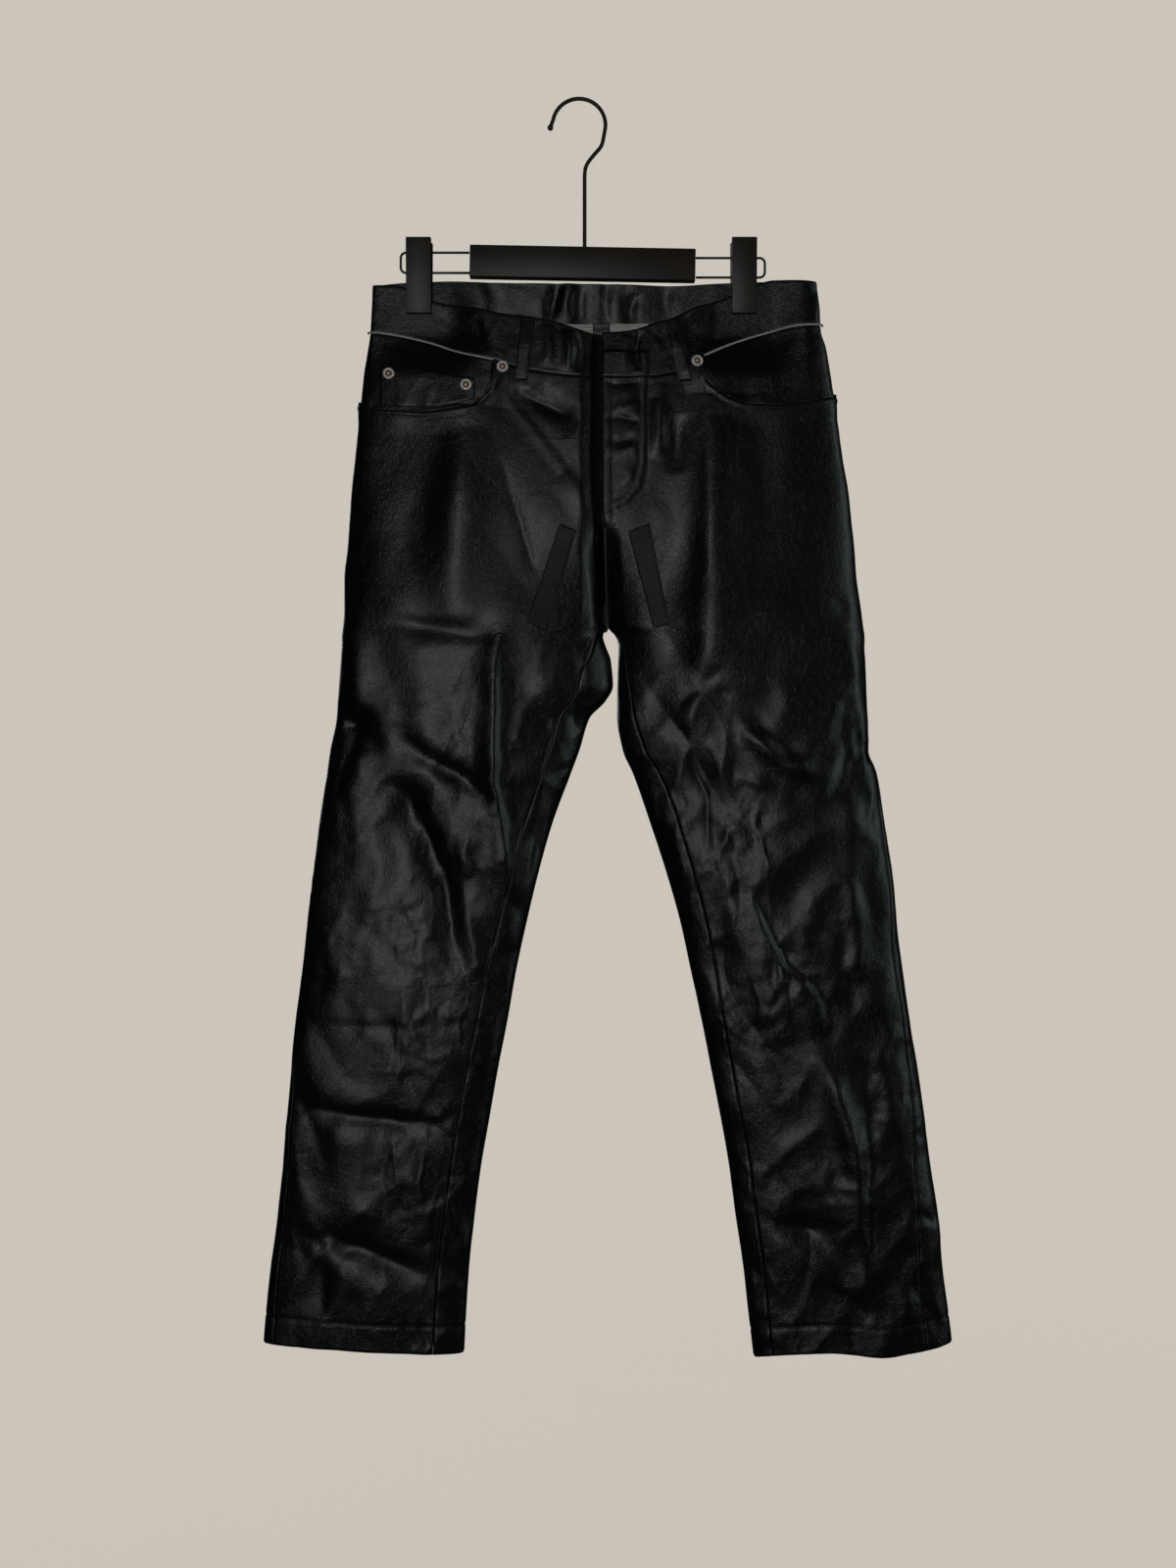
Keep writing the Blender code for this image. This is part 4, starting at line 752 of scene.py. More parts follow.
def attach(made, node=None):
    """Fixes a piece to the garment's body. With a node, the piece stands for it."""
    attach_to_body(made, "root")
    if node:
        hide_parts(node)


def facing_out(points, faces):
    """The faces of a closed body, turned round if they face inwards."""
    a, b, c, d = (points[faces[:, corner]] for corner in range(4))
    halves = (np.einsum("ij,ij->i", a, np.cross(e, f)).sum() for e, f in ((b, c), (c, d)))
    volume = sum(halves)
    return faces[:, ::-1] if volume < 0 else faces


def shell(name, outer, inner, finishes, lining_below=None):
    """A closed sheet between two grids. Its inside takes the second finish, below lining_below if given."""
    rows, columns = outer.shape[:2]
    lattice = np.arange(rows * columns).reshape(rows, columns)
    sheet = np.stack([lattice[:-1, :-1], lattice[:-1, 1:], lattice[1:, 1:], lattice[1:, :-1]], -1)
    sheet = sheet.reshape(-1, 4)
    below = rows * columns
    ring = np.concatenate([lattice[0, :-1], lattice[:-1, -1], lattice[-1, :0:-1], lattice[:0:-1, 0]])
    after = np.roll(ring, -1)
    skirt = np.stack([after, ring, ring + below, after + below], -1)
    faces = np.concatenate([sheet, sheet[:, ::-1] + below, skirt])
    points = np.concatenate([outer.reshape(-1, 3), inner.reshape(-1, 3)])
    index = np.zeros(len(faces), np.int32)
    if len(finishes) > 1:
        lined = np.ones(len(sheet), bool)
        if lining_below is not None:
            lined = inner.reshape(-1, 3)[sheet][..., 2].mean(-1) < lining_below
        index[len(sheet):2 * len(sheet)] = lined
    return add_mesh(name, points, facing_out(points, faces), finishes, index)


def turns(count):
    return np.linspace(0, 2 * math.pi, count, endpoint=False)


def lid(ring):
    """Four-sided faces that close a ring with an even number of points."""
    count = len(ring)
    return np.array([[ring[i], ring[i + 1], ring[count - 2 - i], ring[count - 1 - i]]
                     for i in range(count // 2 - 1)])


def tube_faces(rings, sides):
    """Four-sided faces of a closed tube of rings, with a lid at either end."""
    lattice = np.arange(rings * sides).reshape(rings, sides)
    after = np.roll(lattice, -1, axis=1)
    quads = np.stack([lattice[:-1], after[:-1], after[1:], lattice[1:]], -1).reshape(-1, 4)
    return np.concatenate([quads, lid(lattice[0][::-1]), lid(lattice[-1])])


def swept(name, points, radii, finish, sides):
    """A closed round tube along points, with a radius at each."""
    points = np.asarray(points, float)
    way = unit(np.gradient(points, axis=0))
    across = np.array([0.0, 1.0, 0.0]) if np.abs(way[:, 1]).max() < 0.9 else np.array([0, 0, 1.0])
    side_way = unit(np.cross(way, across))
    up = np.cross(side_way, way)
    rings = np.stack([points + np.asarray(radii)[:, None] * (side_way * math.cos(a) + up * math.sin(a))
                      for a in turns(sides)], 1).reshape(-1, 3)
    faces = facing_out(rings, tube_faces(len(points), sides))
    return add_mesh(name, rings, faces, (finish,))


def cord_along(name, points, radius, finish, sides):
    return swept(name, points, np.full(len(points), radius), finish, sides)


def finish_sheet(made, node):
    """Fixes a sheet of cloth to the garment's body, in place of its node."""
    attach(made, node)


def cloth(node, side, q, z, face, thickness, finishes, lift=0.0):
    """A piece of the garment's own surface, over a grid of q and z, in place of its node."""
    outer, normal = skin(side, q, z, face, lift)
    inner = close_seams(outer - normal * np.broadcast_to(thickness, q.shape)[..., None])
    outer = close_seams(roll_edges(outer, normal))
    finish_sheet(shell(node + "_cloth", outer, inner, finishes), node)


# ---------------------------------------------------------------- panels

FRONT_COLUMNS = (30, 22, 48)
BACK_COLUMNS = 92
UPPER_ROWS = 44
LOWER_ROWS = 286
BACK_ROWS = 280
YOKE_ROWS = 40
FRONT_BAND_ROWS = 36
BACK_BAND_ROWS = 34
FACING_GRID = (34, 70)
JOINT = -310.0
CORNER_HEIGHT = -262.0
CORNER_SAMPLES = 161
BEFORE_CORNER = 0.09
PAST_CORNER = 0.01
PANEL_CROWD = 0.7
JOINT_CROWD = 0.75
STRIP_CROWD = 0.6
HEM_CORNER = 2.0
BAND_LINING = -207.5


def corner_share(side):
    """Where the pocket's upper corner lies across the front."""
    share = np.linspace(0, 1, CORNER_SAMPLES)
    x = x_at(side, share, np.full(share.shape, CORNER_HEIGHT), "front")
    order = np.argsort(x)
    return np.interp(POCKET_CORNER[side], x[order], share[order])


def front_columns(side):
    """Shares of the front's width, close together at its edges and at the pocket's corner."""
    corner = corner_share(side)
    outer, near, centre = FRONT_COLUMNS
    return np.concatenate([
        np.linspace(0, corner - BEFORE_CORNER, outer, endpoint=False),
        np.linspace(corner - BEFORE_CORNER, corner + PAST_CORNER, near, endpoint=False),
        corner + PAST_CORNER + (1 - corner - PAST_CORNER) * spread(centre, 0.0, PANEL_CROWD),
    ])


def panel_grid(side, face, share, top, rows):
    """q and z for every row and column of a panel that runs from the top edge to the hem."""
    seams = ("outseam", "inseam") if face == "front" else ("inseam", "outseam")

    def q_of(z):
        start, end = (seam_q(side, seam, z, face)[:, None] for seam in seams)
        return start + (end - start) * share

    low = JOINT + (HEM - JOINT) * spread(rows, 0.0, JOINT_CROWD)
    q = q_of(low)
    z = np.repeat(low[:, None], q.shape[1], axis=1)
    z = z + (smooth(x_at(side, q, z, face), HEM_EDGE[side]) - HEM) * ramp(-z, -HEM_TOP, -HEM)
    high = top + (z[0] - top) * spread(UPPER_ROWS, JOINT_CROWD, 0.0)[:-1, None]
    heights = np.concatenate([np.full(UPPER_ROWS - 1, JOINT), low])
    return q_of(heights), np.vstack([high, z])


def wall_depth(z):
    """The cloth's thickness, doubled in the turned-up hem."""
    hem = HEM + HEM_DEPTH
    return CLOTH + (HEM_WALL - CLOTH) * ramp(-z, -(hem + HEM_CORNER), -hem)


def between(top, low, rows):
    """Heights of a strip's rows from its top edge to its low edge."""
    return top + (low - top) * spread(rows, STRIP_CROWD, STRIP_CROWD)[:, None]


def strip(side, q, top, low, face, rows):
    """q and z of a strip between two edges."""
    z = between(on_edge(side, q, top, face), on_edge(side, q, low, face), rows)
    return np.broadcast_to(q, z.shape), z


def front_tops(side, q):
    """Heights of the waist seam and of the pocket mouth across a front."""
    return (on_edge(side, q, edge[side], "front") for edge in (WAIST_SEAM, POCKET_MOUTH))


def make_front(side):
    share = front_columns(side)
    seam, mouth = front_tops(side, share)
    beyond = (x_at(side, share, seam, "front") - POCKET_CORNER[side]) * TURN[side] < -0.5
    q, z = panel_grid(side, "front", share, np.where(beyond, mouth, seam), LOWER_ROWS)
    x = x_at(side, q, z, "front")
    lift = np.where(z > HEM_TOP, mouth_lift(side, x, z) + mouth_hem(side, x, z), hem_lift(side, x, z))
    cloth(f"front_{side}", side, q, z, "front", wall_depth(z), (WAXED, LINING), lift)


def make_back(side):
    share = spread(BACK_COLUMNS, PANEL_CROWD, PANEL_CROWD)
    top = on_edge(side, 1 + share, YOKE_SEAM, "back")
    q, z = panel_grid(side, "back", share, top, BACK_ROWS)
    lift = hem_lift(side, x_at(side, q, z, "back"), z)
    cloth(f"back_{side}", side, q, z, "back", wall_depth(z), (WAXED, LINING), lift)


def make_yoke(side):
    q = 1 + spread(BACK_COLUMNS, PANEL_CROWD, PANEL_CROWD)
    q, z = strip(side, q, BACK_BAND_LOW, YOKE_SEAM, "back", YOKE_ROWS)
    cloth(f"yoke_{side}", side, q, z, "back", CLOTH, (WAXED, LINING))


def make_front_band(side):
    q, z = strip(side, front_columns(side), BAND_TOP[side], WAIST_SEAM[side], "front", FRONT_BAND_ROWS)
    cloth(f"waistband_front_{side}", side, q, z, "front", BAND, (WAXED,))


def make_back_band():
    """One strip round the back, from the left side seam to the right one."""
    halves = []
    for side in SIDES:
        q = 1 + spread(BACK_COLUMNS, 0.0, PANEL_CROWD)
        q, z = strip(side, q, BACK_BAND_TOP, BACK_BAND_LOW, "back", BACK_BAND_ROWS)
        outer, normal = skin(side, q, z, "back")
        halves.append((outer, outer - normal * BAND, normal))
    outer, inner, normal = (np.hstack([left[:, ::-1], right[:, 1:]]) for left, right in zip(*halves))
    outer, inner = close_seams(roll_edges(outer, normal)), close_seams(inner)
    made = shell("waistband_back_cloth", outer, inner, (WAXED, LINING), BAND_LINING)
    finish_sheet(made, "waistband_back")


def make_facing(side):
    """The pocket's facing, seen above the mouth, tucked behind the front below it."""
    rows, columns = FACING_GRID
    q = np.linspace(0, corner_share(side) - FACING_END, columns)
    seam, mouth = front_tops(side, q)
    z = np.vstack([between(seam, mouth, rows), mouth - FACING_TUCK])
    q = np.broadcast_to(q, z.shape)
    cover = np.where(z < mouth + 1, mouth_lift(side, x_at(side, q, z, "front"), z), MOUTH_LIFT)
    lift = np.minimum(0, cover - CLOTH - FACING_GAP)
    cloth(f"pocket_facing_{side}", side, q, z, "front", FACING, (WAXED,), lift)


# ---------------------------------------------------------------- pieces laid on the cloth

Loop = namedtuple("Loop", "face edge top low")

LAID_GAP = 0.45
TAB_WALL = 1.3
TAB_GRID = (84, 20)
TAB_BRIDGE = 40
COIN_CLEAR = 2.2
COIN_POCKET = ((-187, -248.5), (-97.5, -265), (-97.5, -285.5), (-187, -288.5))
COIN_WALL = 1.0
COIN_GRID = (44, 100)
THIGH_TABS = {
    "left": ((-18.5, -401), (-3.5, -407.5), (-31.5, -500.5), (-49.5, -492.5)),
    "right": ((64.5, -401), (44.5, -408), (68, -498.5), (83, -494)),
}
LOOPS = {
    "belt_loop_front_left": Loop("front", BAND_TOP["left"], -48.0, (-55.0, -267.5)),
    "belt_loop_front_right": Loop("front", BAND_TOP["right"], 85.5, (97.5, -268.0)),
    "belt_loop_side_left": Loop("back", BACK_BAND_TOP, -120.0, (-122.0, -230.0)),
    "belt_loop_side_right": Loop("back", BACK_BAND_TOP, 119.0, (121.0, -230.0)),
    "belt_loop_centre_back": Loop("back", BACK_BAND_TOP, 20.0, (20.0, -230.0)),
}
LOOP_DROP = 1.2
LOOP_WIDTH = 12.5
LOOP_WALL = 1.6
LOOP_BOW = 2.0
LOOP_GRID = (70, 18)
LOOP_BRIDGE = 30
LOOP_BOW_POWER = 0.8
BACK_POCKETS = {"left": (-96.0, -304.0, 4.0), "right": (138.0, -304.0, -4.0)}
POCKET_TOP_HALF = 72.0
POCKET_LOW_HALF = 68.0
POCKET_CORNER_DROP = -122.0
POCKET_POINT_DROP = -148.0
POCKET_POINTS = 76
TAPE_X = 20.0
TAPE_TOP = -207.0
TAPE_LENGTH = 101.0
TAPE_STEP = (-214.0, -211.0)
TAPE_HALF = 8.0
TAPE_WALL = 0.9
TAPE_GAP = 0.6
TAPE_GRID = (60, 14)
FAR = 500


def outward(face):
    return -1.0 if face == "front" else 1.0


@lru_cache(maxsize=None)
def tree_of(*nodes):
    """One search tree over the cloth of the named nodes, in mm."""
    points, faces = [], []
    for node in nodes:
        mesh = bpy.data.objects[node + "_cloth"].data
        start = sum(len(part) for part in points)
        place = np.empty(len(mesh.vertices) * 3)
        mesh.vertices.foreach_get("co", place)
        points.append(place.reshape(-1, 3) / MM)
        corners = np.empty(len(mesh.polygons) * 4, np.int32)
        mesh.polygons.foreach_get("vertices", corners)
        faces.append(corners.reshape(-1, 4) + start)
    return BVHTree.FromPolygons(np.concatenate(points).tolist(), np.concatenate(faces).tolist())


def lie_on(tree, x, z, face):
    """y of the outermost surface at each (x, z), and the way it faces."""
    way = -outward(face)
    y = np.full(x.shape, np.nan)
    normal = np.zeros((*x.shape, 3))
    for index in np.ndindex(x.shape):
        place, facing, _, _ = tree.ray_cast(Vector((x[index], -way * FAR, z[index])), Vector((0, way, 0)))
        if place is not None:
            y[index] = place.y
            normal[index] = facing if facing.y * way < 0 else -facing
    return y, normal


def four_sided(corners, rows, columns):
    """A grid over four (x, z) corners: top start, top end, bottom end, bottom start."""
    a, b, c, d = (np.array(corner, float) for corner in corners)
    t = spread(rows, STRIP_CROWD, STRIP_CROWD)[:, None, None]
    s = spread(columns, STRIP_CROWD, STRIP_CROWD)[None, :, None]
    grid = (a + (b - a) * s) * (1 - t) + (d + (c - d) * s) * t
    return grid[..., 0], grid[..., 1]


def settle(rest, face, reach):
    """Bridges hollows under a laid piece: its rest never dips below the mean of what is round it."""
    filled = rest.copy()
    for _ in range(reach):
        padded = np.pad(filled, 1, mode="edge")
        mean = (padded[:-2, 1:-1] + padded[2:, 1:-1] + padded[1:-1, :-2] + padded[1:-1, 2:]) / 4
        filled = np.minimum(rest, mean) if face == "front" else np.maximum(rest, mean)
    return filled


def laid(node, x, z, face, carriers, thickness, lift=LAID_GAP, bridged=6,
         finish=None):
    """A piece laid on others: a grid of (x, z) moved out from what carries it, with rounded edges."""
    rest = lie_on(tree_of(*carriers), x, z, face)[0]
    rest = settle(np.where(np.isnan(rest), np.nanmean(rest), rest), face, bridged)
    way = outward(face)
    inner = np.stack([x, rest + way * lift, z], -1)
    outer = np.stack([x, rest + way * (lift + thickness), z], -1)
    outer = roll_edges(outer, np.array([0.0, way, 0.0]))
    finish_sheet(shell(node + "_cloth", outer, inner, (finish or WAXED,)), node)


def make_coin_pocket():
    """A patch on the left facing, its foot along the pocket's mouth."""
    x, z = four_sided(COIN_POCKET, *COIN_GRID)
    share = spread(COIN_GRID[0], STRIP_CROWD, STRIP_CROWD)[:, None]
    z = z[0] + (smooth(x[0], POCKET_MOUTH["left"]) + COIN_CLEAR - z[0]) * share
    laid("coin_pocket", x, z, "front", ("pocket_facing_left",), COIN_WALL)


def make_thigh_tab(side):
    x, z = four_sided(THIGH_TABS[side], *TAB_GRID)
    laid(f"thigh_tab_{side}", x, z, "front", (f"front_{side}",), TAB_WALL, bridged=TAB_BRIDGE,
         finish=WAXED_DULL)


def loop_top(loop, x):
    """Height of a belt loop's upper end, just below the waistband's top edge."""
    return float(smooth(x, loop.edge)) - LOOP_DROP


def make_loop(node, loop):
    """A strip that bows out over the waistband."""
    half = LOOP_WIDTH / 2
    low_x, low_z = loop.low
    upper = [(x, loop_top(loop, x)) for x in (loop.top - half, loop.top + half)]
    x, z = four_sided((*upper, (low_x + half, low_z), (low_x - half, low_z)), *LOOP_GRID)
    carriers = [f"{part}_{side}" for part in ("waistband_front", "front") for side in SIDES]
    if loop.face == "back":
        carriers = ["waistband_back", *(f"yoke_{side}" for side in SIDES)]
    arch = np.sin(math.pi * np.linspace(0, 1, LOOP_GRID[0]))[:, None]
    bow = LAID_GAP + LOOP_BOW * arch ** LOOP_BOW_POWER
    laid(node, x, z, loop.face, carriers, LOOP_WALL, bow, LOOP_BRIDGE)


def pocket_place(side, across, down):
    """x and z of a place on a back pocket, which leans, from the middle of its top edge."""
    centre, top, lean = BACK_POCKETS[side]
    angle = math.radians(lean)
    return (centre + across * math.cos(angle) - down * math.sin(angle),
            top + across * math.sin(angle) + down * math.cos(angle))


def make_back_pocket(side):
    """A five-sided patch: its rows run from the top edge to the pointed low edge."""
    depth = spread(POCKET_POINTS, PANEL_CROWD, PANEL_CROWD)
    share, depth = 2 * depth - 1, depth[:, None]
    low = POCKET_POINT_DROP + (POCKET_CORNER_DROP - POCKET_POINT_DROP) * np.abs(share)
    across = share * (POCKET_TOP_HALF + (POCKET_LOW_HALF - POCKET_TOP_HALF) * depth)
    x, z = pocket_place(side, across, low * depth)
    laid(f"back_pocket_{side}", x, z, "back", (f"back_{side}",), TAB_WALL)


def make_seam_tape():
    """The dark tape over the centre-back seam, inside."""
    left, right, low = TAPE_X - TAPE_HALF, TAPE_X + TAPE_HALF, TAPE_TOP - TAPE_LENGTH
    x, z = four_sided(((left, TAPE_TOP), (right, TAPE_TOP), (right, low), (left, low)), *TAPE_GRID)
    rest = reading(z, DEPTHS, "back") - CLOTH - TAPE_GAP - (BAND - CLOTH) * ramp(z, *TAPE_STEP)
    outer, inner = (np.stack([x, y, z], -1) for y in (rest, rest - TAPE_WALL))
    made = shell("centre_back_tape_cloth", outer, inner, (WAXED,))
    finish_sheet(made, "centre_back_tape")


# ---------------------------------------------------------------- stitching

THREAD = 0.34
STITCH = 2.3
STITCH_PITCH = 3.0
FIRST_STITCH = 0.3
STITCH_SIDES = 6
STITCH_RINGS = ((0.0, 0.25), (0.18, 0.9), (0.82, 0.9), (1.0, 0.25))
TACK = (1.4, 1.2)
LOOP_TACK = (1.5, 1.3)
LOOP_TACK_HALF = 5
LOOP_TACKS = (0.03, 0.055, 0.92, 0.945, 0.97)
LOOP_INSET = 2.2
LOOP_STITCH_END = 1.5
EDGE_STITCH = 2.6
OUTSEAM_INSET = 2.4
SEAM_STITCHES = (2.2, 6.4)
COIN_STITCHES = (2.4, 7.8)
TAB_INSET = 2.0
TAB_LINE = 0.86
POCKET_STITCHES = (2.2, 8.0)
POCKET_END_RAISE = 0.6
POCKET_HEM = 14.0
POCKET_HEM_PAST = 12.0
INSEAM_TOP = -512
SEAM_LINE_END = 3
SEAM_LINE_STEP = -2.0
OUTSEAM_TOP = {"left": -900, "right": -700}
HEM_STITCHES = {
    "front": {"left": (-292, -110), "right": (164, 348)},
    "back": {"left": (-292, -110), "right": (166, 346)},
}
BAND_STITCHES = {"left": (-194, 32), "right": (23, 220)}
BACK_BAND_STITCHES = ((BACK_BAND_TOP, -194, 220, EDGE_STITCH), (BACK_BAND_LOW, -194, 224, -EDGE_STITCH))
YOKE_STITCHES = {"left": (-206, 18), "right": (22, 236)}
FLY_LINES = (((22.0, -266), (22.0, -492)), ((30.1, -266), (30.1, -404)), ((27.5, -408), (27.5, -492)))
FLY_TACK = ((22.0, -405.5), (27.0, -405.5))
FLY_TACK_DROPS = (0, 0.7, 1.4, 2.1)
RISE_STITCHES = ((22, -290), (24, -400), (28, -485))
SEWN_LINES = {}


def lengths_along(line):
    """Each point's distance from the start, measured along the line."""
    return np.concatenate([[0], np.cumsum(np.linalg.norm(np.diff(line, axis=0), axis=1))])


def route(places, step=1.0):
    """Evenly spaced points along a smooth curve through the places."""
    places = np.array(places, float)
    lengths = lengths_along(places)
    at = np.linspace(0, lengths[-1], max(2, int(lengths[-1] / step) + 1))
    return np.stack([smooth(at, list(zip(lengths, places[:, axis]))) for axis in range(places.shape[1])], -1)


def beside(line, distance):
    """The line moved to the right of its own way."""
    way = unit(np.gradient(line, axis=0))
    return line + distance * np.stack([way[:, 1], -way[:, 0]], -1)


def edge_line(edge, low, high, drop):
    """A line that follows an edge, a table of (x, z), the given distance under it."""
    x = np.arange(low, high, 1.0)
    return beside(np.stack([x, smooth(x, edge)], -1), drop)


def seam_line(side, seam, top, inset):
    """A line beside a leg's seam, on the front, from the given height down to the hem."""
    z = np.arange(top, HEM + SEAM_LINE_END, SEAM_LINE_STEP)
    return beside(np.stack([x_at(side, seam_q(side, seam, z, "front"), z, "front"), z], -1), inset)


def inset_shape(corners, inset):
    """A closed outline of (x, z) corners moved inwards by the inset."""
    corners = np.array(corners, float)
    centre = corners.mean(axis=0)
    moved = []
    for i, corner in enumerate(corners):
        before, after = corners[i - 1], corners[(i + 1) % len(corners)]
        ways = []
        for a, b in ((before, corner), (corner, after)):
            normal = np.array([-(b - a)[1], (b - a)[0]]) / np.linalg.norm(b - a)
            ways.append(normal if normal @ (centre - corner) > 0 else -normal)
        bisector = ways[0] + ways[1]
        moved.append(corner + bisector * inset / (1 + ways[0] @ ways[1]))
    return moved


def sew(node, face, line, pitch=STITCH_PITCH, stitch=STITCH):
    """Lays stitches along a line of (x, z) on the node's cloth."""
    line = np.asarray(line, float)
    lengths = lengths_along(line)
    starts = np.arange(FIRST_STITCH, lengths[-1] - stitch, pitch)
    ends = starts + stitch
    spots = np.stack([np.interp(np.stack([starts, ends]), lengths, line[:, axis]) for axis in (0, 1)], -1)
    y, normal = lie_on(tree_of(node), spots[..., 0], spots[..., 1], face)
    sound = ~np.isnan(y).any(axis=0) & (np.abs(np.diff(y, axis=0)[0]) < stitch)
    points = np.stack([spots[..., 0], y, spots[..., 1]], -1)[:, sound]
    SEWN_LINES.setdefault(node, []).append((points[0], points[1], normal[0][sound]))


def sew_between(node, face, corners):
    """A straight line of stitches from each corner to the next."""
    for start, end in zip(corners[:-1], corners[1:]):
        sew(node, face, (start, end))


def sew_front(side):
    node, way = f"front_{side}", TURN[side]
    for inset in MOUTH_STITCHES:
        sew(node, "front", beside(route(POCKET_MOUTH[side]), inset))
    for inset in SEAM_STITCHES:
        sew(node, "front", seam_line(side, "inseam", INSEAM_TOP, inset * way))
    sew(node, "front", seam_line(side, "outseam", OUTSEAM_TOP[side], -OUTSEAM_INSET * way))
    sew_hem(side, "front")


def sew_hem(side, face):
    sew(f"{face}_{side}", face, edge_line(HEM_EDGE[side], *HEM_STITCHES[face][side], -HEM_DEPTH))


def sew_fly():
    """The fly's edge, the two curves that hold its facing, and the tack at its foot."""
    for curve in (*FLY_LINES, FLY_OUTER, FLY_INNER):
        sew("front_right", "front", route(curve))
    for drop in FLY_TACK_DROPS:
        sew("front_right", "front", [(x, z - drop) for x, z in FLY_TACK], *TACK)


def sew_bands():
    for side in SIDES:
        for edge, inset in ((BAND_TOP[side], EDGE_STITCH), (WAIST_SEAM[side], -EDGE_STITCH)):
            sew(f"waistband_front_{side}", "front", edge_line(edge, *BAND_STITCHES[side], inset))
    for line in BACK_BAND_STITCHES:
        sew("waistband_back", "back", edge_line(*line))


def sew_backs():
    for side in SIDES:
        for inset in SEAM_STITCHES:
            sew(f"yoke_{side}", "back", edge_line(YOKE_SEAM, *YOKE_STITCHES[side], -inset))
        sew_hem(side, "back")
    for inset in SEAM_STITCHES:
        sew("back_right", "back", route([(x + inset, z) for x, z in RISE_STITCHES]))


def sew_tab(side):
    corners = inset_shape(THIGH_TABS[side], TAB_INSET)
    sew_between(f"thigh_tab_{side}", "front", [*corners, corners[0]])
    a, b, c, d = corners
    sew(f"thigh_tab_{side}", "front", (a + (d - a) * TAB_LINE, b + (c - b) * TAB_LINE))


def sew_back_pocket(side):
    """Two lines round the patch, open at the top, and one across its hem."""
    node = f"back_pocket_{side}"
    shape = [pocket_place(side, across, down) for across, down in (
        (-POCKET_TOP_HALF, 0), (-POCKET_LOW_HALF, POCKET_CORNER_DROP), (0, POCKET_POINT_DROP),
        (POCKET_LOW_HALF, POCKET_CORNER_DROP), (POCKET_TOP_HALF, 0))]
    for inset in POCKET_STITCHES:
        moved = inset_shape(shape, inset)
        for end in (0, 4):
            moved[end] = moved[end] + (np.array(shape[end]) - moved[end]) * [0, POCKET_END_RAISE]
        sew_between(node, "back", moved)
    hem = inset_shape(shape, POCKET_HEM)
    angle = math.radians(BACK_POCKETS[side][2])
    past = (POCKET_HEM_PAST * math.cos(angle), POCKET_HEM_PAST * math.sin(angle))
    sew(node, "back", (hem[0] - past, hem[4] + past))


def sew_loop(node, loop):
    """A line down each edge, and short tacks at both ends."""
    upper = loop_top(loop, loop.top)
    low_x, low_z = loop.low
    for offset in (-LOOP_WIDTH / 2 + LOOP_INSET, LOOP_WIDTH / 2 - LOOP_INSET):
        ends = ((loop.top + offset, upper - LOOP_STITCH_END), (low_x + offset, low_z + LOOP_STITCH_END))
        sew(node, loop.face, ends)
    for share in LOOP_TACKS:
        x, z = loop.top + (low_x - loop.top) * share, upper + (low_z - upper) * share
        sew(node, loop.face, ((x - LOOP_TACK_HALF, z), (x + LOOP_TACK_HALF, z)), *LOOP_TACK)


def sew_small_pieces():
    for inset in COIN_STITCHES:
        sew("coin_pocket", "front", beside(np.array(COIN_POCKET[:2], float), inset))
    for side in SIDES:
        sew_tab(side)
        sew_back_pocket(side)
    for node, loop in LOOPS.items():
        sew_loop(node, loop)


def make_stitches(node):
    """All of one piece's stitches in one mesh."""
    start, end, normal = (np.concatenate(parts) for parts in zip(*SEWN_LINES[node]))
    way = unit(end - start)
    across = unit(np.cross(way, normal))
    up = np.cross(across, way)
    rings = []
    for share, width in STITCH_RINGS:
        middle = start + (end - start) * share + up * THREAD * (1.1 * width - 0.5)
        rings.append(np.stack([middle + THREAD * width * (across * math.cos(a) + up * 0.9 * math.sin(a))
                               for a in turns(STITCH_SIDES)], 1))
    points = np.stack(rings, 1)
    count, ring_count, sides = points.shape[:3]
    first = np.arange(count)[:, None, None] * ring_count * sides
    faces = (tube_faces(ring_count, sides)[None] + first).reshape(-1, 4)
    points = points.reshape(-1, 3)
    attach(add_mesh(node + "_stitches", points, facing_out(points, faces), (THREAD_BLACK,)))


# ---------------------------------------------------------------- piping, rivets and hanger

PIPING_RADIUS = 1.0
PIPING_ENDS = (0.004, 0.012)
PIPING_POINTS = 160
RISE_SEAM = (-404.0, -499.0)
RISE_CORD = 1.3
RISE_CORD_X = 0.3
RISE_POINTS = 80
RIVETS = {
    "rivet_pocket_left": (-72.0, -255.0),
    "rivet_pocket_right": (108.5, -249.5),
    "rivet_coin_outer": (-178.5, -259.5),
    "rivet_coin_inner": (-106.0, -271.5),
}
RIVET_RADIUS = 5.5
RIVET_BRASS = (1.0, 3.0)
RIVET_PROFILE = ((0, 1.62), (0.8, 1.6), (1.5, 1.42), (2.0, 1.12), (2.4, 0.98), (2.7, 0.96), (3.0, 1.12),
                 (3.4, 1.48), (3.9, 1.66), (4.4, 1.6), (4.9, 1.36), (5.25, 1.0), (5.45, 0.6),
                 (RIVET_RADIUS, 0.25), (RIVET_RADIUS, 0), (0, 0))
RIVET_STEPS = 48
RIVET_POLE = 0.02
RIVET_FOOT = 0.1
RIVET_CARRIERS = ("front_left", "front_right", "waistband_front_left", "coin_pocket",
                  "waistband_front_right", "pocket_facing_left", "pocket_facing_right")
HOOK_WIRE = 3.7
HOOK_ARC = (-1.0, -23.0, 24.8)
HOOK_ARC_FROM = 168.0
HOOK_ARC_TO = -14.0
HOOK_TIP = ((-28.0, -25.5), (-26.6, -21.5))
HOOK_TAIL = ((20.4, -41.4), (12.6, -51.5), (7.2, -58.6), (4.7, -65.0), (4.2, -73.0), (4.2, -100.0))
HOOK_STEP = 0.8
HOOK_BALL = 2.8
HOOK_BALL_RINGS = 13
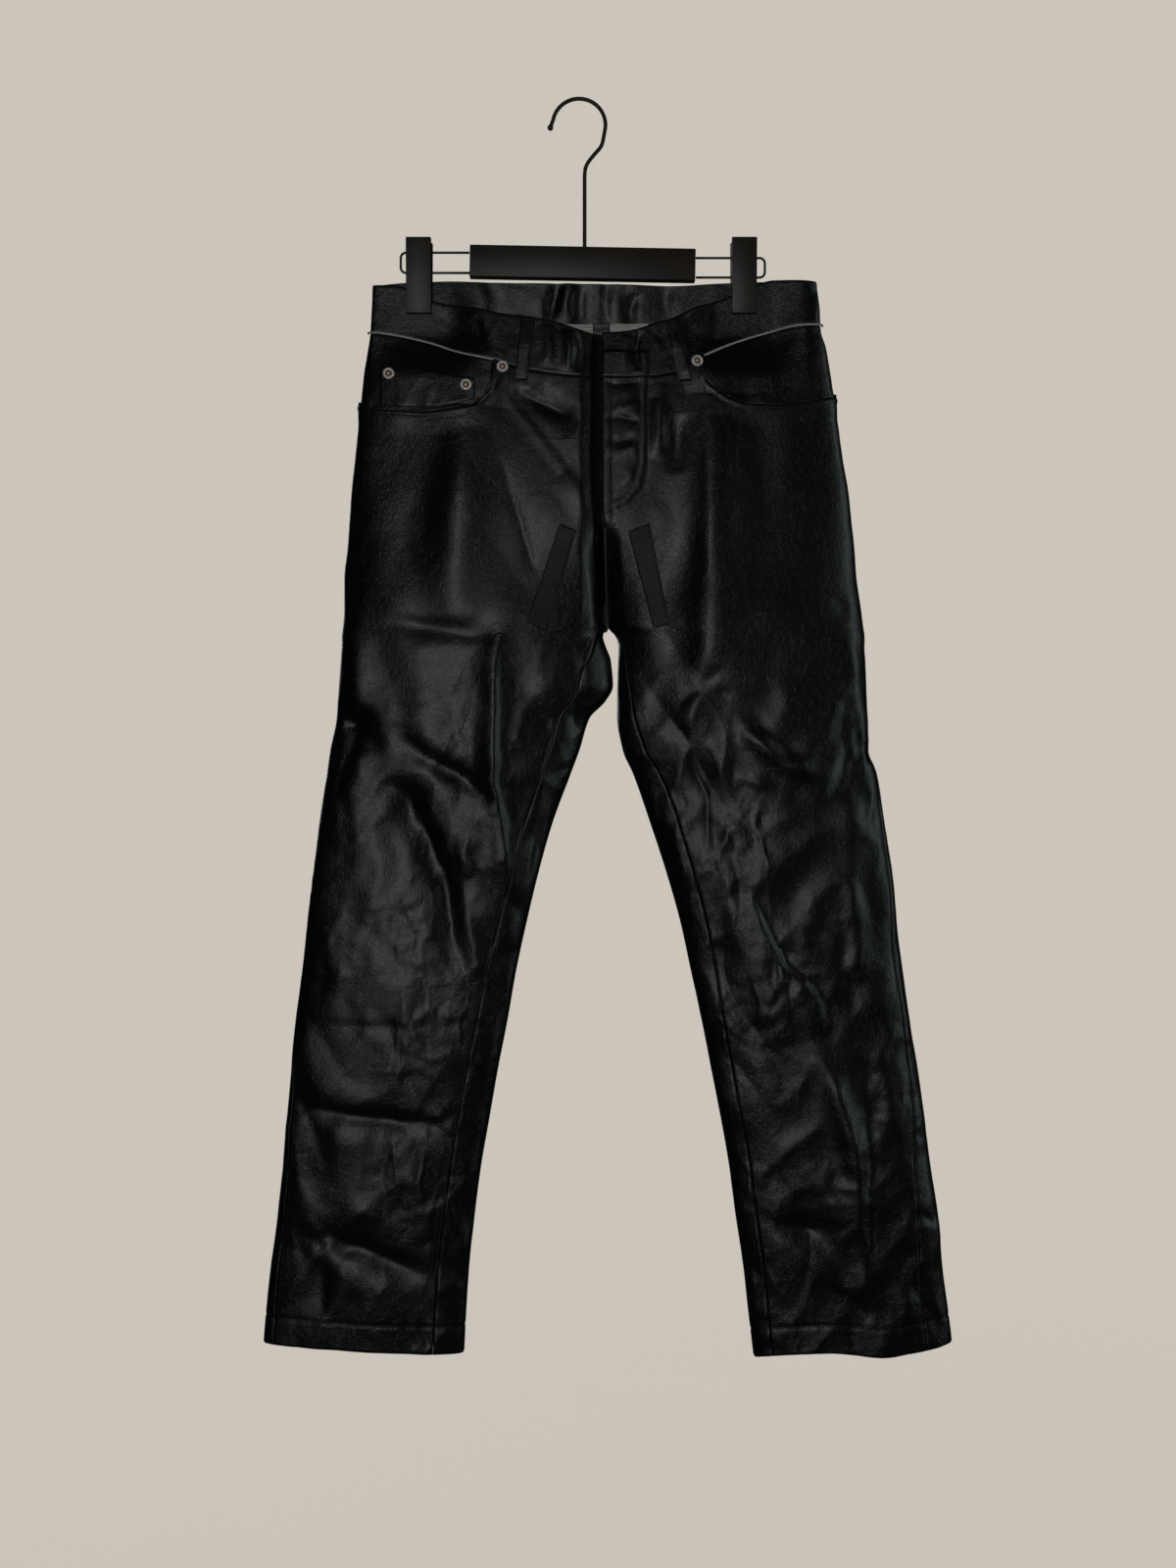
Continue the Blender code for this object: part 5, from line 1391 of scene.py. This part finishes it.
BAR_SIZE = (211.5, 11.0, 30.0)
BAR_CENTRE = (2.3, -1.5, -154.0)
BAR_TILT = 1.05
BAR_EDGE = 1.0
RAIL_WIRE = 2.3
RAILS = {"left": (-142.9, -161.9, -168.5), "right": (-147.9, -166.2, 173.5)}
RAIL_BEND = 5.0
RAIL_GAP = 0.6
CLIP_WIDTH = 23.5
CLIP_TOP = -131.5
CLIP_LOW = -201.5
JAW_HEAD = 5.8
JAW_BACK_TOP = 12.0
JAW_BACK_LOW = 8.0
JAW_STEP = (-168.6, -172.5)
JAW_EDGE = 0.7
CORE_WIDTH = 17.0
CORE_TOP = -134.0
CORE_LOW = {"left": -167.0, "right": -168.8}
CORE_EDGE = 0.5


def make_piping(side):
    """A round cord in the waist seam, from the side seam to the pocket's corner."""
    start, end = PIPING_ENDS
    q = np.linspace(start, corner_share(side) - end, PIPING_POINTS)
    z = on_edge(side, q, WAIST_SEAM[side], "front")
    points = skin(side, q, z, "front", PIPING_RADIUS + 2 * REST_GAP, 0.0)[0]
    made = cord_along(f"piping_{side}_cord", points, PIPING_RADIUS, PIPING, 12)
    attach(made, f"piping_{side}")


def make_rise_seam():
    """The thread that closes the seam in the valley between the legs, down to the crotch."""
    z = np.linspace(*RISE_SEAM, RISE_POINTS)
    left, right = (base(side, 1.0, z, "front")[0] for side in SIDES)
    points = (left + right) / 2
    points[:, 0] = reading(z, OUTLINES["left"], "inner") + RISE_CORD_X
    attach(cord_along("rise_seam_thread", points, RISE_CORD, THREAD_BLACK, 10))


def make_rivet(node, x, z):
    """A turned cap: a silver ring and tip, with a dark brass ring between them."""
    angles = turns(RIVET_STEPS)
    rim_x, rim_z = x + RIVET_RADIUS * np.cos(angles), z + RIVET_RADIUS * np.sin(angles)
    rests = lie_on(tree_of(*RIVET_CARRIERS), np.append(rim_x, x), np.append(rim_z, z), "front")[0]
    seat = np.nanmin(rests) - REST_GAP + SEAM_GAP
    radii = np.array([max(radius, RIVET_POLE) for radius, _ in RIVET_PROFILE])[:, None]
    heights = np.array([height for _, height in RIVET_PROFILE])[:, None]
    points = np.stack([x + radii * np.cos(angles), seat - np.repeat(heights, RIVET_STEPS, 1),
                       z + radii * np.sin(angles)], -1).reshape(-1, 3)
    faces = tube_faces(len(RIVET_PROFILE), RIVET_STEPS)
    middle = points[faces].mean(axis=1)
    from_middle = np.hypot(middle[:, 0] - x, middle[:, 2] - z)
    low, high = RIVET_BRASS
    brass = (from_middle > low) & (from_middle < high) & (middle[:, 1] < seat - RIVET_FOOT)
    made = add_mesh(node + "_cap", points, facing_out(points, faces), (SILVER, BRASS), brass)
    attach(made, node)


def upright(line):
    """A line of (x, z) as points in the hanger's own plane."""
    return np.stack([line[:, 0], np.zeros(len(line)), line[:, 1]], -1)


def bar_top(x):
    slope = math.tan(math.radians(BAR_TILT))
    return BAR_CENTRE[2] + BAR_SIZE[2] / 2 - (x - BAR_CENTRE[0]) * slope


def make_hook():
    """A round hook whose tip swells into a ball, its stem standing on the bar."""
    cx, cz, radius = HOOK_ARC
    arc = [(cx + radius * math.cos(math.radians(a)), cz + radius * math.sin(math.radians(a)))
           for a in np.linspace(HOOK_ARC_FROM, HOOK_ARC_TO, 25)]
    tail = HOOK_TAIL[-1][0]
    line = route((*HOOK_TIP, *arc, *HOOK_TAIL, (tail, bar_top(tail) + SEAM_GAP)), HOOK_STEP)
    tip = line[0] - (line[1] - line[0]) / HOOK_STEP * HOOK_BALL
    first = tip + (line[0] - tip) * np.linspace(0, 1, HOOK_BALL_RINGS + 1)[:-1, None]
    line = np.vstack([first, line])
    in_tip = np.arange(len(line)) < HOOK_BALL_RINGS
    away = np.linalg.norm(line - line[HOOK_BALL_RINGS], axis=-1) * np.where(in_tip, -1, 1)
    ball = np.sqrt(np.clip(HOOK_BALL ** 2 - away ** 2, 0.0004, None))
    radii = np.where(in_tip, ball, np.maximum(np.where(away < HOOK_BALL, ball, 0), HOOK_WIRE / 2))
    attach(swept("hook_wire", upright(line), radii, PAINTED, 20), "hanger_hook")


def painted_block(name, shape, edge, centre=(0, 0, 0)):
    """A painted piece from a closed bmesh in mm, its edges rounded."""
    bmesh.ops.bevel(shape, geom=shape.edges, offset=edge, segments=3, profile=0.5, affect="EDGES")
    bmesh.ops.translate(shape, verts=shape.verts, vec=centre)
    bmesh.ops.scale(shape, verts=shape.verts, vec=(MM, MM, MM))
    mesh = bpy.data.meshes.new(name)
    shape.to_mesh(mesh)
    shape.free()
    mesh.materials.append(PAINTED)
    mesh.shade_smooth()
    mesh.set_sharp_from_angle(angle=math.radians(40))
    return linked(name, mesh)


def cuboid(size):
    shape = bmesh.new()
    bmesh.ops.create_cube(shape, size=1.0, matrix=Matrix.Diagonal((*size, 1)))
    return shape


def make_bar():
    bar = painted_block("bar_slab", cuboid(BAR_SIZE), BAR_EDGE)
    place = Matrix.Translation([value * MM for value in BAR_CENTRE])
    bar.data.transform(place @ Matrix.Rotation(math.radians(BAR_TILT), 4, "Y"))
    attach(bar, "hanger_bar")


def make_rail(side):
    """Out along the upper wire, round the bend, and back along the lower one."""
    upper, lower, end = RAILS[side]
    way = -TURN[side]
    near = BAR_CENTRE[0] + way * (BAR_SIZE[0] / 2 + RAIL_GAP)
    turn = end - way * RAIL_BEND
    angles = np.radians(np.linspace(90, 0, 12))
    bend = [(turn + way * RAIL_BEND * math.cos(a), upper - RAIL_BEND * (1 - math.sin(a))) for a in angles]
    back = [(x, lower + upper - z) for x, z in reversed(bend)]
    out = [(near + (turn - near) * t, upper) for t in (0.3, 0.6, 0.9)]
    home = [(turn + (near - turn) * t, lower) for t in (0.1, 0.4, 0.7)]
    line = np.array([(near, upper), *out, *bend, *back, *home, (near, lower)])
    made = cord_along(f"rail_{side}_wire", upright(line), RAIL_WIRE / 2, PAINTED, 14)
    attach(made, f"hanger_rail_{side}")


def jaw_shape(x, way):
    """A jaw's profile of (y, z), drawn across the clip's width."""
    inner = PINCH + SEAM_GAP
    profile = ((inner, CLIP_LOW), (inner, JAW_STEP[1]), (JAW_HEAD, JAW_STEP[0]), (JAW_HEAD, CLIP_TOP),
               (JAW_BACK_TOP, CLIP_TOP), (JAW_BACK_LOW, CLIP_LOW))
    shape = bmesh.new()
    first, last = ([shape.verts.new((x + offset, way * y, z)) for y, z in profile]
                   for offset in (-CLIP_WIDTH / 2, CLIP_WIDTH / 2))
    shape.faces.new(first)
    shape.faces.new(last)
    for i in range(len(profile)):
        j = (i + 1) % len(profile)
        shape.faces.new([first[i], first[j], last[j], last[i]])
    bmesh.ops.recalc_face_normals(shape, faces=shape.faces)
    return shape


def make_clip(side):
    """Two jaws either side of the cloth, on a core that slides along the rail's wires."""
    x, low = CLIP_X[side], CORE_LOW[side]
    for face, way in (("front", -1), ("back", 1)):
        jaw = painted_block(f"clip_{side}_{face}_plate", jaw_shape(x, way), JAW_EDGE)
        attach(jaw, f"clip_{side}_{face}_jaw")
    shape = cuboid((CORE_WIDTH, 2 * (JAW_HEAD - SEAM_GAP), CORE_TOP - low))
    core = painted_block(f"clip_{side}_slider", shape, CORE_EDGE, (x, 0, (CORE_TOP + low) / 2))
    attach(core, f"clip_{side}_core")


# ---------------------------------------------------------------- materials

def new_material(name):
    """A material with its node tree, its Principled shader, and the places that its textures read."""
    made = bpy.data.materials.new(name)
    made.use_nodes = True
    tree = made.node_tree
    return made, tree, tree.nodes["Principled BSDF"], add(tree, "ShaderNodeTexCoord").outputs["Object"]


def add(tree, kind, links=(), **values):
    """A node, with links given as (input, output socket) and values by input name."""
    node = tree.nodes.new(kind)
    for name, value in values.items():
        if hasattr(node, name):
            setattr(node, name, value)
        else:
            node.inputs[name.replace("_", " ")].default_value = value
    for socket, source in links:
        tree.links.new(source, node.inputs[socket])
    return node


def dress(tree, shader, links, **values):
    """Links and plain values for the shader's inputs, by their names."""
    for name, source in links.items():
        tree.links.new(source, shader.inputs[name])
    for name, value in values.items():
        shader.inputs[name.replace("_", " ")].default_value = value


def noise(tree, place, scale, detail=4.0, roughness=0.55, distortion=0.0):
    node = add(tree, "ShaderNodeTexNoise", [("Vector", place)], Scale=scale, Detail=detail,
               Roughness=roughness, Distortion=distortion)
    return node.outputs["Fac"]


def between_values(tree, source, low, high, start=0.0, end=1.0):
    """The source's range from low to high, as start to end."""
    node = add(tree, "ShaderNodeMapRange", [("Value", source)], From_Min=low, From_Max=high,
               To_Min=start, To_Max=end)
    return node.outputs["Result"]


def times(tree, first, second):
    return add(tree, "ShaderNodeMath", [(0, first), (1, second)], operation="MULTIPLY").outputs[0]


def colour_ramp(tree, source, *stops):
    node = add(tree, "ShaderNodeValToRGB", [("Fac", source)])
    elements = node.color_ramp.elements
    while len(elements) < len(stops):
        elements.new(0.5)
    for element, (position, colour) in zip(elements, stops):
        element.position = position
        element.color = (*colour, 1)
    return node.outputs["Color"]


def bump(tree, height, distance, strength, under=None):
    links = [("Height", height)] + ([("Normal", under)] if under else [])
    node = add(tree, "ShaderNodeBump", links, Distance=distance, Strength=strength)
    return node.outputs["Normal"]


def waxed_material(name, roughest, smoothest, coat):
    """Black waxed cotton: uneven wax film, leathery grain over a faint twill, greyer where it is rubbed."""
    made, tree, shader, place = new_material(name)
    mottle = noise(tree, place, 60.0, 5.0, 0.6, 0.4)
    grain = noise(tree, place, 700.0, 3.0, 0.6)
    wrinkle = noise(tree, place, 210.0, 4.0, 0.6, 1.2)
    colour = colour_ramp(tree, mottle, (0.3, (0.0016, 0.0019, 0.0019)), (0.6, (0.0034, 0.0040, 0.0040)),
                         (0.8, (0.0075, 0.0088, 0.0086)))
    film = times(tree, noise(tree, place, 9.0, 3.0), mottle)
    rough = between_values(tree, film, 0.12, 0.42, roughest, smoothest)
    twill = add(tree, "ShaderNodeTexWave", [("Vector", place)], Scale=520.0, Distortion=0.4, Detail=1.0,
                bands_direction="DIAGONAL")
    shift = add(tree, "ShaderNodeTexNoise", [("Vector", place)], Scale=28.0, Detail=2.0).outputs["Color"]
    bent = add(tree, "ShaderNodeVectorMath", [(0, shift), (2, place)], operation="MULTIPLY_ADD")
    bent.inputs[1].default_value = (0.02, 0.02, 0.02)
    cracks = add(tree, "ShaderNodeTexVoronoi", [("Vector", bent.outputs[0])], feature="DISTANCE_TO_EDGE",
                 Scale=58.0)
    lines = between_values(tree, cracks.outputs["Distance"], 0.0, 0.16, 1.0, 0.0)
    some = between_values(tree, noise(tree, place, 26.0, 2.0), 0.50, 0.68)
    relief_so_far = bump(tree, times(tree, lines, some), 0.0006, 0.2)
    relief_so_far = bump(tree, wrinkle, 0.0010, 0.45, relief_so_far)
    relief_so_far = bump(tree, grain, 0.0004, 0.55, relief_so_far)
    relief_so_far = bump(tree, twill.outputs["Fac"], 0.0001, 0.25, relief_so_far)
    dress(tree, shader, {"Base Color": colour, "Roughness": rough, "Normal": relief_so_far},
          Specular_IOR_Level=0.5, Specular_Tint=(0.89, 1.0, 0.97, 1), Coat_Weight=coat, Coat_Roughness=0.24)
    return made


def two_shades(name, roughness, scale, detail, dark, light):
    """A plain material in soft spots of two shades, with its tree, shader and places."""
    made, tree, shader, place = new_material(name)
    colour = colour_ramp(tree, noise(tree, place, scale, detail), (0.3, dark), (0.7, light))
    dress(tree, shader, {"Base Color": colour}, Roughness=roughness)
    return made, tree, shader, place


def woven_material(name, weave, depth, strength, *shades):
    """Matt cotton with a plain weave, given by its scale and distortion."""
    made, tree, shader, place = two_shades(name, 0.85, *shades)
    scale, distortion = weave
    weft = add(tree, "ShaderNodeTexWave", [("Vector", place)], Scale=scale, Distortion=distortion)
    dress(tree, shader, {"Normal": bump(tree, weft.outputs["Fac"], depth, strength)})
    return made


def painted_material():
    """Matt warm black paint on steel, with a fine orange-peel."""
    made, tree, shader, place = two_shades("warm_black_paint", 0.42, 40.0, 4.0,
                                           (0.024, 0.017, 0.011), (0.034, 0.025, 0.017))
    peel = noise(tree, place, 1400.0, 2.0)
    dress(tree, shader, {"Normal": bump(tree, peel, 0.00008, 0.35)})
    return made


def metal_material(name, colour, roughness):
    """Worn bright metal."""
    made, tree, shader, place = new_material(name)
    wear = noise(tree, place, 800.0, 4.0)
    shade = colour_ramp(tree, wear, (0.3, [0.72 * part for part in colour]), (0.6, colour))
    rough = between_values(tree, wear, 0.3, 0.7, roughness + 0.1, roughness)
    dress(tree, shader, {"Base Color": shade, "Roughness": rough}, Metallic=0.35)
    return made


# ---------------------------------------------------------------- camera, light and floor

CAMERA_PLACE = (0.0074, -1.6, -0.642)
LENS = 39.1
FLOOR_Z = -1.75
FLOOR_RADIUS = 3.0
BACKDROP = (0.60, 0.56, 0.50)


def make_camera():
    data = bpy.data.cameras.new("camera")
    data.sensor_fit = "VERTICAL"
    data.sensor_height = 36.0
    data.lens = LENS
    camera = linked("camera", data)
    camera.location = CAMERA_PLACE
    camera.rotation_euler = (math.radians(90), 0, 0)
    bpy.context.scene.camera = camera


def area_light(name, place, aim, size, power, colour):
    data = bpy.data.lights.new(name, "AREA")
    data.shape = "RECTANGLE"
    data.size, data.size_y = size
    data.energy = power
    data.color = colour
    light = linked(name, data)
    light.location = place
    light.rotation_euler = (Vector(aim) - Vector(place)).to_track_quat("-Z", "Y").to_euler()


def make_lights():
    area_light("key", (-0.6, -3.9, -0.45), (0.0, 0.0, -0.68), (0.9, 2.0), 20, (1.0, 1.0, 0.98))
    area_light("side", (2.3, -0.8, -0.3), (0.0, 0.0, -0.7), (0.5, 2.0), 7, (0.95, 0.98, 1.0))
    area_light("back", (-1.2, 2.4, 0.3), (0.0, 0.0, -0.7), (1.4, 1.8), 12, (1.0, 0.98, 0.96))


def make_world():
    """A pale ground for the camera, and a dim even light for the object."""
    world = bpy.data.worlds.new("studio")
    world.use_nodes = True
    bpy.context.scene.world = world
    tree = world.node_tree
    tree.nodes.clear()
    seen = add(tree, "ShaderNodeBackground", Color=(*BACKDROP, 1), Strength=1.0)
    light = add(tree, "ShaderNodeBackground", Color=(0.80, 0.84, 0.86, 1), Strength=0.01)
    path = add(tree, "ShaderNodeLightPath")
    mix = add(tree, "ShaderNodeMixShader", [("Fac", path.outputs["Is Camera Ray"]), (1, light.outputs[0]),
                                            (2, seen.outputs[0])])
    add(tree, "ShaderNodeOutputWorld", [("Surface", mix.outputs[0])])


def make_floor():
    """A round pale floor that fades into the ground at its rim."""
    made, tree, shader, place = new_material("studio_floor")
    away = add(tree, "ShaderNodeVectorMath", [(0, place)], operation="LENGTH").outputs["Value"]
    fade = between_values(tree, away, 1.0, FLOOR_RADIUS * 0.98)
    seen = add(tree, "ShaderNodeLightPath").outputs["Is Camera Ray"]
    glow = between_values(tree, seen, 0.0, 1.0, 0.0, 0.95)
    dress(tree, shader, {"Emission Strength": glow}, Base_Color=(0.10, 0.093, 0.083, 1), Roughness=0.9,
          Emission_Color=(*BACKDROP, 1))
    clear = add(tree, "ShaderNodeBsdfTransparent")
    mix = add(tree, "ShaderNodeMixShader", [("Fac", fade), (1, shader.outputs[0]), (2, clear.outputs[0])])
    tree.links.new(mix.outputs[0], tree.nodes["Material Output"].inputs["Surface"])
    bpy.ops.mesh.primitive_circle_add(vertices=96, radius=FLOOR_RADIUS, fill_type="NGON",
                                      location=(0, 0, FLOOR_Z))
    floor = bpy.context.object
    floor.name = "studio_floor"
    floor.data.materials.append(made)


# ---------------------------------------------------------------- making it all

WAXED = waxed_material("waxed_cotton", 0.335, 0.27, 0.12)
WAXED_DULL = waxed_material("waxed_cotton_dull", 0.54, 0.46, 0.0)
LINING = woven_material("cotton_inside", (420.0, 0.6), 0.00015, 0.5,
                        160.0, 4.0, (0.62, 0.60, 0.55), (0.80, 0.78, 0.72))
THREAD_BLACK = two_shades("black_thread", 0.5, 900.0, 2.0, (0.022, 0.024, 0.024), (0.050, 0.054, 0.053))[0]
PIPING = woven_material("grey_piping", (700.0, 0.4), 0.0002, 0.6,
                        500.0, 3.0, (0.52, 0.52, 0.50), (0.72, 0.72, 0.70))
SILVER = metal_material("silver_ring", (0.95, 0.93, 0.90), 0.30)
BRASS = metal_material("brass_ring", (0.34, 0.19, 0.11), 0.34)
PAINTED = painted_material()

for leg_side in SIDES:
    make_front(leg_side)
    make_back(leg_side)
    make_yoke(leg_side)
    make_front_band(leg_side)
    make_facing(leg_side)
make_back_band()
make_coin_pocket()
for leg_side in SIDES:
    make_thigh_tab(leg_side)
    make_back_pocket(leg_side)
    sew_front(leg_side)
sew_fly()
for loop_node, belt_loop in LOOPS.items():
    make_loop(loop_node, belt_loop)
make_seam_tape()
sew_bands()
sew_backs()
sew_small_pieces()
for sewn in SEWN_LINES:
    make_stitches(sewn)
for leg_side in SIDES:
    make_piping(leg_side)
    make_rail(leg_side)
    make_clip(leg_side)
for rivet, (rivet_x, rivet_z) in RIVETS.items():
    make_rivet(rivet, rivet_x, rivet_z)
make_rise_seam()
make_hook()
make_bar()
make_camera()
make_lights()
make_world()
make_floor()
bpy.context.scene.view_settings.view_transform = "Standard"
